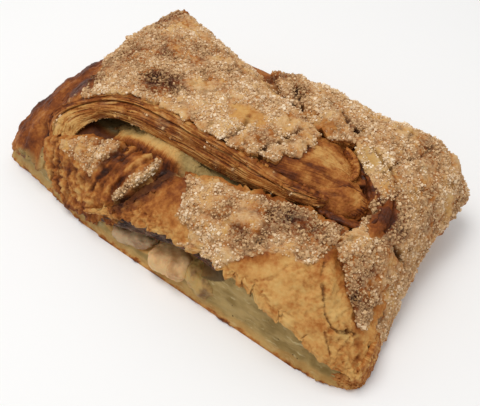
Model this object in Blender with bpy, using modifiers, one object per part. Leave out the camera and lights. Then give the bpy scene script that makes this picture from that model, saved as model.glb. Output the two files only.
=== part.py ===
"""Puff pastry braid: sugared crust straps folded over a soft apple filling.

The pastry is one solid: a pillow of dough with a flat base, seven crust straps
that lap over it, their flaky cut edges and coarse sugar grains. The filling
runs through it and shows in the slit on top and in the pocket on the near
side, where three pieces of apple lie.

Guide points are millimetres: +X along the braid, +Y to its back, +Z up.
"""
import math
import random

import bmesh
import bpy
from mathutils import Matrix, Vector, noise
from mathutils.bvhtree import BVHTree

MM = 0.001
GAP = 0.35  # clearance between neighbouring solids

# Dough pillow under the straps
NEAR_EDGE = -34.5
FAR_EDGE = 35.5
LEFT_END = (-67.5, -58.5)  # x at the near and at the far edge
RIGHT_END = (71.0, 64.0)
LIP_HEIGHTS = ((-69, 3), (-58, 9), (-43, 7), (-30, 7), (-18, 11.5), (-6, 16), (8, 19),
               (24, 20), (38, 18.5), (50, 14.5), (61, 9), (71, 4))  # along the near edge
LIP_REACH = 14.0
VALLEY_HEIGHT = 23.0
BACK_HEIGHT = 32.0
END_SHARE = 0.22  # share of the height that is left at the two ends
END_REACH = 22.0
FOOT_HEIGHT = 2.2
WAIST = 1.0  # how far the sides pull in above the foot
NEAR_SLOPE = (1.6, 2.4)  # how far the near side runs out at the foot's top and base

# Filling and what lies in the near pocket
FILLING_CENTRE = (2.0, -8.0, 13.2)
FILLING_SIZE = (58.0, 22.0, 9.8)
FILLING_LUMPS = (0.9, 9.0)  # depth and length of the lumps

# Coarse sugar
SUGAR_COUNT = 96
SUGAR_TRIES = 6000
SUGAR_SEED = 11
SUGAR_SIZE = (1.1, 1.9)
SUGAR_FLATNESS = 0.9
SUGAR_UNEVENNESS = (0.8, 1.15)  # how far each corner is from its place
SUGAR_SINK = 0.22  # how high the middle of a grain lies, in grain sizes
SUGAR_TILT = 0.5
SUGAR_SPACING = 5.2
SUGAR_AREA = ((-66.0, 70.0), (-36.0, 37.0))  # x and y
SUGAR_DROP_FROM = 60.0
SUGAR_LOWEST = 8.0
SUGAR_STEEPEST = 0.5  # least upward part of the surface normal

# Each strap: rows of guide points on its top face, near to far, and a thickness
LEFT_CRUST = {
    "thickness": 6.0,
    "rows": (
        ((-70, -34, 4), (-64, -35, 9), (-58, -35, 11), (-50, -35, 9)),
        ((-69.5, -27, 11), (-65, -26, 16), (-57, -26, 19), (-50, -26, 17)),
        ((-68, -17, 17), (-63, -16, 22), (-55, -15, 25), (-48, -15, 24)),
        ((-66, -4, 22), (-61, -3, 27), (-54, -2, 29), (-46, -2, 31)),
        ((-61, 10, 23), (-58, 10, 27.5), (-52, 11, 31.5), (-46, 12, 34)),
        ((-58, 24, 26), (-55.5, 25, 31), (-51, 26, 35), (-46, 26, 37)),
        ((-57, 37, 21), (-54.5, 38, 28), (-50.5, 39, 33.5), (-46, 38, 35)),
    ),
}
BACK_STRAP = {
    "thickness": 7.0,
    "rows": (
        ((-58, -18, 22), (-49, -17, 28.5), (-40, -12.5, 34), (-28, -9, 38), (-12, -9, 39),
         (4, -9.5, 38), (15, -7.5, 36.5), (23, -4, 35.5)),
        ((-61, -6, 25), (-51, -4, 31), (-40, -2, 36), (-27, -1, 39), (-11, -1, 39),
         (4, -1, 38.5), (15, 0, 37.5), (25, 2, 35.5)),
        ((-57.5, 12, 28), (-50, 13, 33.5), (-39, 14, 37), (-26, 15, 38.5), (-12, 14, 38.5),
         (2, 12, 38), (14, 9, 37), (27, 9, 35)),
        ((-55, 26, 31), (-49, 28, 36), (-39, 29, 38.5), (-28, 28, 38.5), (-17, 26, 38.5),
         (-6, 22, 37.5), (7, 18, 36.5), (23, 15, 35)),
        ((-55, 36, 27), (-50, 38, 33.5), (-41, 38, 36), (-31, 37, 35.5), (-21, 35, 35.5),
         (-11, 31.5, 35), (0, 26.5, 34.5), (15, 20, 33)),
        ((-56, 38, 12), (-49, 39, 14), (-40, 39.5, 16), (-30, 39, 18), (-21, 38, 18),
         (-10, 36, 20), (2, 33, 24), (14, 26, 26)),
    ),
}
FAR_STRAP = {
    "thickness": 6.0,
    "rows": (
        ((-7, 27, 33.5), (4, 20.5, 35), (14, 15.5, 35.7), (22, 13, 35.2), (31, 14, 34)),
        ((-4, 32, 35), (6, 27, 37), (16, 23, 37.5), (25, 20.5, 36.8), (35, 20, 35)),
        ((0, 36.5, 33), (8, 34.5, 36), (18, 32, 37), (27, 29.5, 36.2), (37, 28, 34.5)),
        ((2, 38.5, 26), (10, 38.5, 31), (20, 37.5, 33), (29, 36.5, 32.5), (38, 35.5, 31.5)),
        ((2, 39, 12), (10, 39, 14), (20, 38.5, 16), (29, 38, 16), (37, 38, 15)),
    ),
}
RIGHT_STRAP = {
    "thickness": 6.0,
    "rows": (
        ((60, -23, 18), (64, -26, 13), (68, -30, 8), (73, -35, 3)),
        ((46, -15.5, 29), (54, -16.5, 26.5), (61, -18, 17.5), (67, -20, 4)),
        ((49, -8, 29.5), (56, -8, 28.5), (61.5, -9, 20), (65, -10, 5)),
        ((51.5, -1, 29.8), (57, -2, 29.5), (62.5, -2, 22), (65.5, -2, 6)),
        ((47, 8, 32), (55, 7, 30.5), (63, 7, 24), (67.5, 6, 8)),
        ((33, 14, 35), (46, 15, 33.5), (60, 16, 28), (69, 15, 11)),
        ((34, 25, 35.5), (47, 26, 34), (60, 26, 28), (69, 25, 13)),
        ((35, 35, 32.5), (46, 36.5, 31), (58, 37, 26), (67, 36, 12)),
        ((37, 39, 18), (46, 39, 17), (57, 39, 15), (65, 38.5, 8)),
    ),
}
FRONT_STRAP = {
    "thickness": 2.6,
    "rows": (
        ((-31, -37.5, 8), (-20, -37, 13), (-8, -35.5, 17), (6, -34.5, 20), (22, -34.5, 21.5),
         (36, -35.5, 20), (49, -36, 16), (61, -36, 10.5), (72, -36, 5)),
        ((-15, -33, 17.5), (-6, -32, 21), (3, -31, 24.5), (14, -30, 26.5), (27, -30, 27),
         (39, -30.5, 25.5), (50, -31, 22), (61, -31, 15), (71, -30, 8)),
        ((-7, -26, 23.5), (0, -24.5, 27), (8, -23, 29), (18, -22, 29.5), (29, -20, 29.5),
         (40, -19, 28.5), (51, -20, 25.5), (60, -21, 17.5), (67, -22, 9)),
        ((-9, -20.5, 24), (-2, -17.5, 27), (7, -15, 28.5), (18, -12.5, 29), (29, -9.5, 28.8),
         (41, -6.5, 28.5), (50, -5, 27.5), (57, -8, 24), (65, -10, 14)),
    ),
}
LEFT_LOBE = {
    "thickness": 6.5,
    "rows": (
        ((-54, -32, 9), (-43, -36.5, 9), (-31, -37, 10), (-20, -36, 12), (-11, -33, 13.5)),
        ((-54, -28, 18), (-43, -31, 20), (-31, -31.5, 22), (-19, -29, 22), (-8, -27, 19)),
        ((-52, -25, 24), (-42, -25, 27.5), (-31, -24, 29), (-19, -22, 28), (-6, -20, 23)),
        ((-50, -21, 24), (-42, -18, 26), (-31, -16, 27), (-18, -14, 26.5), (-3, -14, 23.5)),
    ),
}
TONGUE = {
    "thickness": 5.0,
    "rows": (
        ((15, -9.5, 29.5), (27, -7, 29), (39, -4.5, 28), (49, -2, 26.5)),
        ((17, -8.5, 33), (28, -4.5, 32), (40, -0.5, 30.5), (49.5, 2.5, 27.5)),
        ((18, -4, 35.5), (28, 1, 34.8), (37, 5, 33), (45, 7, 29)),
        ((19, 4, 35), (27, 9, 35.2), (34, 11, 33.8), (40, 11.5, 30)),
        ((20, 12, 33), (27, 15, 33), (33, 15.5, 31), (39, 15, 28)),
    ),
}
STRAPS = {
    "left_crust": LEFT_CRUST,
    "back_strap": BACK_STRAP,
    "far_strap": FAR_STRAP,
    "right_strap": RIGHT_STRAP,
    "front_strap": FRONT_STRAP,
    "left_lobe": LEFT_LOBE,
    "tongue": TONGUE,
}

# Flaky cut edges: a strap, how many layers, and how each steps down and out
FLAKES = (
    ("back_strap", 3, 1.9, 0.5),
    ("tongue", 2, 1.6, 0.6),
    ("front_strap", 1, 1.5, 0.9),
    ("far_strap", 1, 1.8, 0.8),
)
FLAKE_WIDTH = 5.0
FLAKE_THICKNESS = 1.0
FLAKE_WAVE = 0.5
FLAKE_OVERHANG = 0.6
CRUST_LUMPS = (0.8, 7.0)
STRAP_CREASE = 0.45
SHAPE_SHARE = 0.32  # share of a strap's triangles that is kept

# Hollows: centre, half sizes and turn about Y in degrees
HOLLOWS = {
    "arch_hole": ((-33.0, -9.0, 26.6), (8.6, 12.0, 3.3), -6.0),
    "near_pocket": ((2.0, -38.5, 10.6), (28.0, 11.5, 8.2), -11.0),
    "end_hole": ((49.0, 1.0, 28.0), (5.0, 4.2, 7.0), 6.0),
}
SLIT_WIDTHS = ((2, -15.0, 3.6), (13, -12.5, 4.4), (24, -9.2, 3.2), (34, -6.2, 2.6), (44, -3.6, 2.2))
SLIT_TOP = 33.0
SLIT_DEPTH = 13.0

# Apple pieces in the near pocket: centre, half sizes and turn about Y
APPLE_BEVEL = 0.42  # of half the block
APPLE_PIECES = {
    "apple_piece_left": ((-8.5, -32.0, 6.8), (7.0, 4.4, 4.6), -16.0),
    "apple_piece_middle": ((6.0, -33.0, 8.6), (7.4, 4.6, 5.8), 18.0),
    "apple_piece_right": ((18.8, -32.5, 9.0), (5.2, 4.6, 6.6), -8.0),
}

FINISHES = {
    "crust": ((0.52, 0.34, 0.16), 0.65),
    "filling": ((0.38, 0.34, 0.17), 0.45),
    "apple": ((0.62, 0.47, 0.26), 0.38),
}


def clear_scene():
    for obj in list(bpy.data.objects):
        bpy.data.objects.remove(obj, do_unlink=True)


def add_collection(name):
    collection = bpy.data.collections.new(name)
    bpy.context.scene.collection.children.link(collection)
    return collection


def finish(name):
    colour, roughness = FINISHES[name]
    material = bpy.data.materials.new(name)
    material.use_nodes = True
    shader = material.node_tree.nodes["Principled BSDF"]
    shader.inputs["Base Color"].default_value = (*colour, 1.0)
    shader.inputs["Roughness"].default_value = roughness
    shader.inputs["Metallic"].default_value = 0.0
    return material


def add_object(name, shape, collection):
    """Turn a bmesh given in millimetres into an object in metres."""
    bmesh.ops.scale(shape, vec=(MM, MM, MM), verts=shape.verts)
    mesh = bpy.data.meshes.new(name)
    shape.to_mesh(mesh)
    shape.free()
    obj = bpy.data.objects.new(name, mesh)
    collection.objects.link(obj)
    return obj


def apply_modifiers(obj):
    bpy.context.view_layer.update()
    depsgraph = bpy.context.evaluated_depsgraph_get()
    mesh = bpy.data.meshes.new_from_object(obj.evaluated_get(depsgraph))
    obj.modifiers.clear()
    obj.data = mesh


def smooth_step(value):
    value = min(max(value, 0.0), 1.0)
    return value * value * (3.0 - 2.0 * value)


def lip_height(x):
    """Height of the near edge at x, read along straight runs."""
    for (x_from, from_height), (x_to, to_height) in zip(LIP_HEIGHTS, LIP_HEIGHTS[1:]):
        if x <= x_to:
            share = min(max((x - x_from) / (x_to - x_from), 0.0), 1.0)
            return from_height + (to_height - from_height) * share
    return LIP_HEIGHTS[-1][1]


def dough_top(x, y):
    """Height of the pillow: the near lip, a valley, then high at the back."""
    left = smooth_step((x - LEFT_END[0]) / END_REACH)
    right = smooth_step((RIGHT_END[0] - x) / END_REACH)
    back = (BACK_HEIGHT - VALLEY_HEIGHT) * smooth_step((y + 11.0) / 13.0)
    crown = (VALLEY_HEIGHT + back) * (END_SHARE + (1.0 - END_SHARE) * min(left, right))
    front = lip_height(x)
    return front + (crown - front) * smooth_step((y - NEAR_EDGE) / LIP_REACH)


def dough_point(across, along, inset=0.0):
    """Plan position for shares from 0 to 1 across and along the braid."""
    y = NEAR_EDGE + inset + (FAR_EDGE - NEAR_EDGE - 2.0 * inset) * along
    left = LEFT_END[0] + (LEFT_END[1] - LEFT_END[0]) * along + inset
    right = RIGHT_END[0] + (RIGHT_END[1] - RIGHT_END[0]) * along - inset
    return left + (right - left) * across, y


def make_pillow(name, collection):
    """Domed dough with a pinched waist and a flared foot on a flat base."""
    shape = bmesh.new()
    crease = shape.edges.layers.float.new("crease_edge")
    bmesh.ops.create_grid(shape, x_segments=12, y_segments=8, size=0.5)
    shares = {vert: (vert.co.x + 0.5, vert.co.y + 0.5) for vert in shape.verts}
    for vert, share in shares.items():
        x, y = dough_point(*share)
        vert.co = (x, y, dough_top(x, y))
    edge_share = {vert: shares[vert] for vert in shape.verts if vert.is_boundary}
    for height, inset, near in ((FOOT_HEIGHT, WAIST, NEAR_SLOPE[0]), (0.0, 0.0, NEAR_SLOPE[1])):
        rim = [edge for edge in shape.edges if edge.is_boundary]
        above = {vert.co.xy.copy().freeze(): vert for edge in rim for vert in edge.verts}
        made = bmesh.ops.extrude_edge_only(shape, edges=rim)["geom"]
        lower = {}
        for vert in (item for item in made if isinstance(item, bmesh.types.BMVert)):
            share = edge_share[above[vert.co.xy.copy().freeze()]]
            x, y = dough_point(*share, inset)
            vert.co = (x, y - near * (1.0 - share[1]), height)
            lower[vert] = share
        edge_share = lower
    rim = [edge for edge in shape.edges if edge.is_boundary]
    bmesh.ops.contextual_create(shape, geom=rim)
    for edge in rim:
        edge[crease] = 1.0
    bmesh.ops.recalc_face_normals(shape, faces=shape.faces)
    pillow = add_object(name, shape, collection)
    soften(pillow, 1)
    apply_modifiers(pillow)
    return pillow


def soften(obj, levels):
    modifier = obj.modifiers.new("Soft form", "SUBSURF")
    modifier.levels = levels
    modifier.render_levels = levels


def make_strap(name, rows, thickness, collection, levels=2, crease=STRAP_CREASE):
    """Crust strap: a sheet over the guide points, thickened downwards."""
    shape = bmesh.new()
    bmesh.ops.create_grid(shape, x_segments=len(rows[0]) - 1, y_segments=len(rows) - 1, size=1.0)
    ordered = sorted(shape.verts, key=lambda vert: (round(vert.co.y, 4), round(vert.co.x, 4)))
    for vert, guide in zip(ordered, (point for row in rows for point in row)):
        vert.co = guide
    strap = add_object(name, shape, collection)
    solidify = strap.modifiers.new("Thickness", "SOLIDIFY")
    solidify.thickness = thickness * MM
    solidify.offset = -1.0
    solidify.edge_crease_outer = crease
    soften(strap, levels)
    apply_modifiers(strap)
    return strap


def roughen(obj, depth, size):
    """Push the surface in and out by a smooth noise that never changes."""
    mesh = obj.data
    moves = []
    for vert in mesh.vertices:
        value = noise.noise(vert.co / (size * MM)) + 0.5 * noise.noise(vert.co * 2.3 / (size * MM))
        moves.append(vert.co + vert.normal * (depth * MM * value))
    for vert, place in zip(mesh.vertices, moves):
        vert.co = place


def flake_rows(strap, step, drop, reach):
    """Two rows of points for one layer of a flaky edge below a strap's lip."""
    lip, inner = strap["rows"][0], strap["rows"][1]
    near, far = [], []
    for index, (edge, back) in enumerate(zip(lip, inner)):
        inward = (Vector(back) - Vector(edge)).normalized()
        wave = FLAKE_WAVE * math.sin(2.4 * index + 1.9 * step)
        outward = reach * step + wave - FLAKE_OVERHANG
        place = Vector(edge) + Vector((0, 0, -drop * step)) - inward * outward
        near.append(place)
        far.append(place + Vector((inward.x, inward.y, 0.0)) * FLAKE_WIDTH)
    return near, far


def make_ball(name, centre, half_sizes, turn, collection, rings=8, grow=0.0):
    shape = bmesh.new()
    bmesh.ops.create_uvsphere(shape, u_segments=2 * rings, v_segments=rings, radius=1.0)
    size = Vector(half_sizes) + Vector((grow, grow, grow))
    place = (Matrix.Translation(centre) @ Matrix.Rotation(math.radians(turn), 4, "Y")
             @ Matrix.Diagonal((*size, 1.0)))
    bmesh.ops.transform(shape, matrix=place, verts=shape.verts)
    return add_object(name, shape, collection)


def make_slit(collection):
    near = [(x, y - 0.5 * width, SLIT_TOP) for x, y, width in SLIT_WIDTHS]
    far = [(x, y + 0.5 * width, SLIT_TOP) for x, y, width in SLIT_WIDTHS]
    return make_strap("slit", (near, far), SLIT_DEPTH, collection, levels=1, crease=1.0)


def make_filling(name, collection, grow=0.0):
    """Lumpy loaf of filling; grown, it is the hollow that the filling sits in."""
    filling = make_ball(name, FILLING_CENTRE, FILLING_SIZE, 0.0, collection, rings=11)
    roughen(filling, *FILLING_LUMPS)
    for vert in filling.data.vertices:
        vert.co += vert.normal * (grow * MM)
    return filling


def make_apple(name, piece, collection, grow=0.0):
    """Cut apple: a block whose corners the oven has rounded."""
    centre, half_sizes, turn = APPLE_PIECES[piece]
    shape = bmesh.new()
    bmesh.ops.create_cube(shape, size=2.0)
    bmesh.ops.bevel(shape, geom=shape.edges[:], offset=APPLE_BEVEL, offset_type="OFFSET",
                    segments=1, profile=0.5, affect="EDGES", material=-1)
    size = Vector(half_sizes) + Vector((grow, grow, grow))
    place = (Matrix.Translation(centre) @ Matrix.Rotation(math.radians(turn), 4, "Y")
             @ Matrix.Diagonal((*size, 1.0)))
    bmesh.ops.transform(shape, matrix=place, verts=shape.verts)
    apple = add_object(name, shape, collection)
    soften(apple, 1)
    apply_modifiers(apple)
    return apple


def boolean(target, operand, operation):
    """Union with, or cut by, an object or a whole collection.

    MANIFOLD, because EXACT drops the body where thin flakes lie almost flush.
    """
    modifier = target.modifiers.new(operation, "BOOLEAN")
    modifier.operation = operation
    modifier.solver = "MANIFOLD"
    if isinstance(operand, bpy.types.Collection):
        modifier.operand_type = "COLLECTION"
        modifier.collection = operand
    else:
        modifier.object = operand
    apply_modifiers(target)


def sugar_grain(rng, place, normal):
    """One crystal: a small block with two ends pinched and its corners uneven."""
    grain = bmesh.new()
    bmesh.ops.create_cube(grain, size=1.0)
    for vert in grain.verts:
        vert.co *= rng.uniform(*SUGAR_UNEVENNESS)
    size = rng.uniform(*SUGAR_SIZE)
    scale = Matrix.Diagonal((size, size * rng.uniform(0.75, 1.0), size * SUGAR_FLATNESS, 1.0))
    turn = normal.to_track_quat("Z", "Y").to_matrix().to_4x4()
    spin = Matrix.Rotation(rng.uniform(0.0, math.tau), 4, "Z")
    tilt = Matrix.Rotation(rng.uniform(-SUGAR_TILT, SUGAR_TILT), 4, "X")
    lift = Matrix.Translation(place + normal * (SUGAR_SINK * size))
    bmesh.ops.transform(grain, matrix=lift @ turn @ spin @ tilt @ scale, verts=grain.verts)
    return grain


def is_sugared(x, y, z, up):
    """Where sugar lies: on what faces up, away from the slit, lips and bare crust."""
    on_top = up > SUGAR_STEEPEST and z > SUGAR_LOWEST
    in_slit = -50.0 < x < 52.0 and y < -12.0 + 0.2 * x and y > -20.0 + 0.22 * x
    bare_crust = x < -54.0 and y < 5.0
    golden_corner = x > 24.0 and y < -22.0
    return on_top and not (in_slit or bare_crust or golden_corner)


def scatter_sugar(pastry, collection):
    """Grains spread evenly over the sugared straps by a seeded draw."""
    rng = random.Random(SUGAR_SEED)
    surface = bmesh.new()
    surface.from_mesh(pastry.data)
    tree = BVHTree.FromBMesh(surface)
    surface.free()
    taken = []
    for _ in range(SUGAR_TRIES):
        if len(taken) == SUGAR_COUNT:
            break
        x, y = (rng.uniform(*span) for span in SUGAR_AREA)
        above = Vector((x, y, SUGAR_DROP_FROM)) * MM
        place, normal, _, _ = tree.ray_cast(above, Vector((0, 0, -1)))
        if place is None:
            continue
        place = place / MM
        crowded = any((place - other).length < SUGAR_SPACING for other in taken)
        if crowded or not is_sugared(x, y, place.z, normal.z):
            continue
        taken.append(place)
        grain = sugar_grain(rng, place, normal)
        add_object(f"grain_{len(taken)}", grain, collection)


def thin_out(obj, share):
    """Drop the triangles that a smooth shape does not need."""
    modifier = obj.modifiers.new("Fewer faces", "DECIMATE")
    modifier.ratio = share
    apply_modifiers(obj)


def remove_all(collection):
    for obj in list(collection.objects):
        bpy.data.objects.remove(obj, do_unlink=True)


def make_pastry(parts, cutters):
    """Hollow the pillow, fuse the straps and flakes to it, make room for the filling."""
    straps = add_collection("straps")
    for name, strap in STRAPS.items():
        made = make_strap(name, strap["rows"], strap["thickness"], straps)
        roughen(made, *CRUST_LUMPS)
        thin_out(made, SHAPE_SHARE)
    for number, (strap, count, drop, reach) in enumerate(FLAKES):
        for step in range(1, count + 1):
            rows = flake_rows(STRAPS[strap], step, drop, reach)
            make_strap(f"flake_{number}_{step}", rows, FLAKE_THICKNESS, straps, levels=1, crease=1.0)
    pastry = make_pillow("pastry", parts)
    for name, hollow in HOLLOWS.items():
        boolean(pastry, make_ball(name, *hollow, cutters), "DIFFERENCE")
    boolean(pastry, make_slit(cutters), "DIFFERENCE")
    boolean(pastry, straps, "UNION")
    remove_all(straps)
    boolean(pastry, make_filling("filling_hollow", cutters, GAP), "DIFFERENCE")
    return pastry


def sugar_pastry(pastry):
    grains = add_collection("grains")
    scatter_sugar(pastry, grains)
    boolean(pastry, grains, "UNION")
    remove_all(grains)


def keep_one_body(obj):
    """Drop the loose scraps that a cut leaves beside the main body."""
    shape = bmesh.new()
    shape.from_mesh(obj.data)
    left = set(shape.verts)
    bodies = []
    while left:
        body, edge = set(), [left.pop()]
        while edge:
            vert = edge.pop()
            body.add(vert)
            for link in vert.link_edges:
                other = link.other_vert(vert)
                if other in left:
                    left.discard(other)
                    edge.append(other)
        bodies.append(body)
    main_body = max(bodies, key=len)
    scraps = [vert for vert in shape.verts if vert not in main_body]
    bmesh.ops.delete(shape, geom=scraps, context="VERTS")
    shape.to_mesh(obj.data)
    shape.free()


def centre_on_floor(objects, whole):
    """Move the solids so that the origin is under the middle of the braid."""
    places = [vert.co for vert in whole.data.vertices]
    middle = Vector([0.5 * (min(place[axis] for place in places) + max(place[axis] for place in places))
                     for axis in (0, 1)] + [min(place.z for place in places)])
    for obj in objects:
        obj.data.transform(Matrix.Translation(-middle))


def set_finish(obj, name):
    obj.data.materials.clear()
    obj.data.materials.append(finish(name))


def main():
    clear_scene()
    parts = add_collection("puff_pastry_braid")
    cutters = add_collection("cutters")
    pastry = make_pastry(parts, cutters)
    filling = make_filling("filling", parts)
    for name in APPLE_PIECES:
        hollow = make_apple(f"{name}_hollow", name, cutters, GAP)
        boolean(pastry, hollow, "DIFFERENCE")
        boolean(filling, hollow, "DIFFERENCE")
        set_finish(make_apple(name, name, parts), "apple")
    keep_one_body(pastry)
    keep_one_body(filling)
    sugar_pastry(pastry)
    keep_one_body(pastry)
    set_finish(pastry, "crust")
    set_finish(filling, "filling")
    centre_on_floor(parts.objects, pastry)
    for cutter in cutters.objects:
        cutter.hide_render = True
        cutter.display_type = "WIRE"


main()
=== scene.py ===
# Puff pastry braid: sugared crust straps folded over a soft apple filling
# Guide points are millimetres: +X along the braid, +Y to its back, +Z up
import math
import random

import bmesh
import bpy
from mathutils import Matrix, Vector, noise


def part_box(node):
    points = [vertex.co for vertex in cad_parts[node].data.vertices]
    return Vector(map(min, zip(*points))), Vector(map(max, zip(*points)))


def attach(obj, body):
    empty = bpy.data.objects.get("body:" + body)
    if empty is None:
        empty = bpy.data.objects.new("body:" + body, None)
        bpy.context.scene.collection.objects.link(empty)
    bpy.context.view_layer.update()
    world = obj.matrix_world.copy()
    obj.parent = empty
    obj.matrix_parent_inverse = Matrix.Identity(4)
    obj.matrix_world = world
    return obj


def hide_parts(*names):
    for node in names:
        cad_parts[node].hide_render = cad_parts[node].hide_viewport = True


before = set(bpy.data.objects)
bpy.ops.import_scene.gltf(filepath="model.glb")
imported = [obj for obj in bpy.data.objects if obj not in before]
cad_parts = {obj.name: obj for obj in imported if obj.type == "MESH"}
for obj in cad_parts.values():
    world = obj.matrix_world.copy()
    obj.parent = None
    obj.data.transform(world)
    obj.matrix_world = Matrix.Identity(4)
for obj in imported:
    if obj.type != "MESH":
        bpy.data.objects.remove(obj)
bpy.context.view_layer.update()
mm = 0.001
print("frame loaded")

# The middle piece of apple tells where the guide millimetres lie in the frame
middleAppleGuide = (6.0, -33.0)
appleLow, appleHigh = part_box("apple_piece_middle")
appleMiddle = (appleLow + appleHigh) / 2 / mm
guideShift = Vector((appleMiddle.x - middleAppleGuide[0], appleMiddle.y - middleAppleGuide[1], 0))


# Small helpers


def smooth(value):
    value = min(max(value, 0.0), 1.0)
    return value * value * (3.0 - 2.0 * value)


def between(points, x):
    # height at x on straight runs between (x, height) points
    for (xFrom, fromHeight), (xTo, toHeight) in zip(points, points[1:]):
        if x <= xTo:
            share = min(max((x - xFrom) / (xTo - xFrom), 0.0), 1.0)
            return fromHeight + (toHeight - fromHeight) * share
    return points[-1][1]


def splineAt(points, share):
    # even B-spline that starts and ends on its end points
    spans = len(points) - 1
    place = min(max(share, 0.0), 1.0) * spans
    start = min(int(place), spans - 1)
    t = place - start
    s = 1.0 - t
    weights = (s ** 3 / 6, (3 * t ** 3 - 6 * t * t + 4) / 6, (3 * s ** 3 - 6 * s * s + 4) / 6, t ** 3 / 6)
    padded = [2 * points[0] - points[1], *points, 2 * points[-1] - points[-2]]
    return sum((padded[start + k] * weight for k, weight in enumerate(weights)), Vector((0, 0, 0)))


def floatLayers(shape, *names):
    return [shape.verts.layers.float.get(name) or shape.verts.layers.float.new(name) for name in names]


def finishLayers(shape):
    return floatLayers(shape, "sugar", "toast", "pale", "crevice", "crumb")


def storeAll(vert, layers, *values):
    for layer, value in zip(layers, values):
        vert[layer] = value


def noiseAt(x, y, z):
    return noise.noise(Vector((x, y, z)))


def meshFrom(shape, name):
    mesh = bpy.data.meshes.new(name)
    shape.to_mesh(mesh)
    shape.free()
    return mesh


def linked(name, data):
    obj = bpy.data.objects.new(name, data)
    bpy.context.scene.collection.objects.link(obj)
    return obj


def tempObject(shape):
    return linked("making", meshFrom(shape, "making"))


def evaluatedMesh(obj):
    # mesh of an object with its modifiers; the object is removed
    bpy.context.view_layer.update()
    graph = bpy.context.evaluated_depsgraph_get()
    mesh = bpy.data.meshes.new_from_object(obj.evaluated_get(graph))
    bpy.data.objects.remove(obj, do_unlink=True)
    return mesh


def evaluatedShape(obj):
    mesh = evaluatedMesh(obj)
    shape = bmesh.new()
    shape.from_mesh(mesh)
    bpy.data.meshes.remove(mesh)
    return shape


def gridOrder(shape):
    return sorted(shape.verts, key=lambda vert: (round(vert.co.y, 4), round(vert.co.x, 4)))


def newParts(made):
    kinds = (bmesh.types.BMVert, bmesh.types.BMEdge)
    return [[item for item in made["geom"] if isinstance(item, kind)] for kind in kinds]


def steadyOrder(shape):
    # by place, so that each run has the same order and the grains of sugar land in the same spots
    for parts in (shape.verts, shape.edges, shape.faces):
        parts.index_update()
        places = {}
        for part in parts:
            corners = getattr(part, "verts", (part,))
            places[part.index] = sum((vert.co for vert in corners), Vector((0, 0, 0))).to_tuple(4)
        ranks = {index: rank for rank, index in enumerate(sorted(places, key=places.get))}
        parts.sort(key=lambda part: ranks[part.index])


def doubleFaces(shape):
    # a second skin joined to the first by its rim
    return newParts(bmesh.ops.extrude_face_region(shape, geom=shape.faces[:], use_keep_orig=True))


def addPiece(name, shape, material):
    # guide millimetres to metres in the frame, with the place in the mesh
    bmesh.ops.translate(shape, vec=guideShift, verts=shape.verts)
    bmesh.ops.scale(shape, vec=(mm, mm, mm), verts=shape.verts)
    mesh = meshFrom(shape, name)
    mesh.materials.append(material)
    mesh.shade_smooth()
    piece = linked(name, mesh)
    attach(piece, "root")
    return piece


def subsurf(obj, levels):
    modifier = obj.modifiers.new("Soft form", "SUBSURF")
    modifier.levels = levels
    modifier.render_levels = levels


# Node trees


class Wire:
    # one value in a node tree, so that shader sums read as Python
    tree = None

    def __init__(self, socket):
        self.socket = socket

    @classmethod
    def node(cls, kind, settings=None, sockets=None, output=0):
        made = cls.tree.nodes.new(kind)
        for name, value in (settings or {}).items():
            if name == "stops":
                ramp = made.color_ramp
                while len(ramp.elements) < len(value):
                    ramp.elements.new(0.5)
                for element, (place, colour) in zip(ramp.elements, value):
                    element.position = place
                    element.color = colour
            else:
                setattr(made, name, value)
        for name, value in (sockets or {}).items():
            cls.plug(made.inputs[name], value)
        return cls(made.outputs[output])

    @classmethod
    def plug(cls, target, value):
        if isinstance(value, cls):
            cls.tree.links.new(value.socket, target)
        else:
            target.default_value = value

    def maths(self, operation, other, swap=False):
        first, second = (other, self) if swap else (self, other)
        return Wire.node("ShaderNodeMath", {"operation": operation}, {0: first, 1: second})

    def __add__(self, other):
        return self.maths("ADD", other)

    __radd__ = __add__

    def __sub__(self, other):
        return self.maths("SUBTRACT", other)

    def __rsub__(self, other):
        return self.maths("SUBTRACT", other, swap=True)

    def __mul__(self, other):
        return self.maths("MULTIPLY", other)

    def __pow__(self, other):
        return self.maths("POWER", other)

    def rise(self, low, high):
        # 0 below low, 1 above high, smooth between
        sockets = {"Value": self, "From Min": low, "From Max": high}
        return Wire.node("ShaderNodeMapRange", {"interpolation_type": "SMOOTHSTEP"}, sockets)

    def ramp(self, *stops):
        return Wire.node("ShaderNodeValToRGB", {"stops": stops}, {0: self})


def paint(red, green, blue):
    # linear colour from screen values of 0 to 255
    parts = (part / 255 for part in (red, green, blue))
    linear = [part / 12.92 if part <= 0.04045 else ((part + 0.055) / 1.055) ** 2.4 for part in parts]
    return (*linear, 1.0)


def mixColours(share, first, second):
    return Wire.node("ShaderNodeMix", {"data_type": "RGBA"}, {0: share, 6: first, 7: second}, 2)


def stored(name):
    return Wire.node("ShaderNodeAttribute", {"attribute_name": name}, output=2)


def objectPlace():
    return Wire.node("ShaderNodeTexCoord", output="Object")


def noiseOver(place, size, detail=3.0):
    sockets = {"Vector": place, "Scale": 1.0 / (size * mm), "Detail": detail, "Roughness": 0.55}
    return Wire.node("ShaderNodeTexNoise", None, sockets)


def cellsOver(place, size, output=0):
    return Wire.node("ShaderNodeTexVoronoi", None, {"Vector": place, "Scale": 1.0 / (size * mm)}, output)


def startMaterial(name, fixed):
    # a new material and its shader; fixed holds what is the same all over
    material = bpy.data.materials.new(name)
    material.use_nodes = True
    Wire.tree = material.node_tree
    shader = material.node_tree.nodes["Principled BSDF"]
    for socket, value in fixed.items():
        shader.inputs[socket].default_value = value
    return material, shader


def bump(height, strength, distance):
    sockets = {"Height": height, "Strength": strength, "Distance": distance * mm}
    return Wire.node("ShaderNodeBump", None, sockets)


# Crust finish: attributes say how sugared, toasted and pale a spot is, and how much painted shade darkens
# its cracks, gaps and hollows

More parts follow.
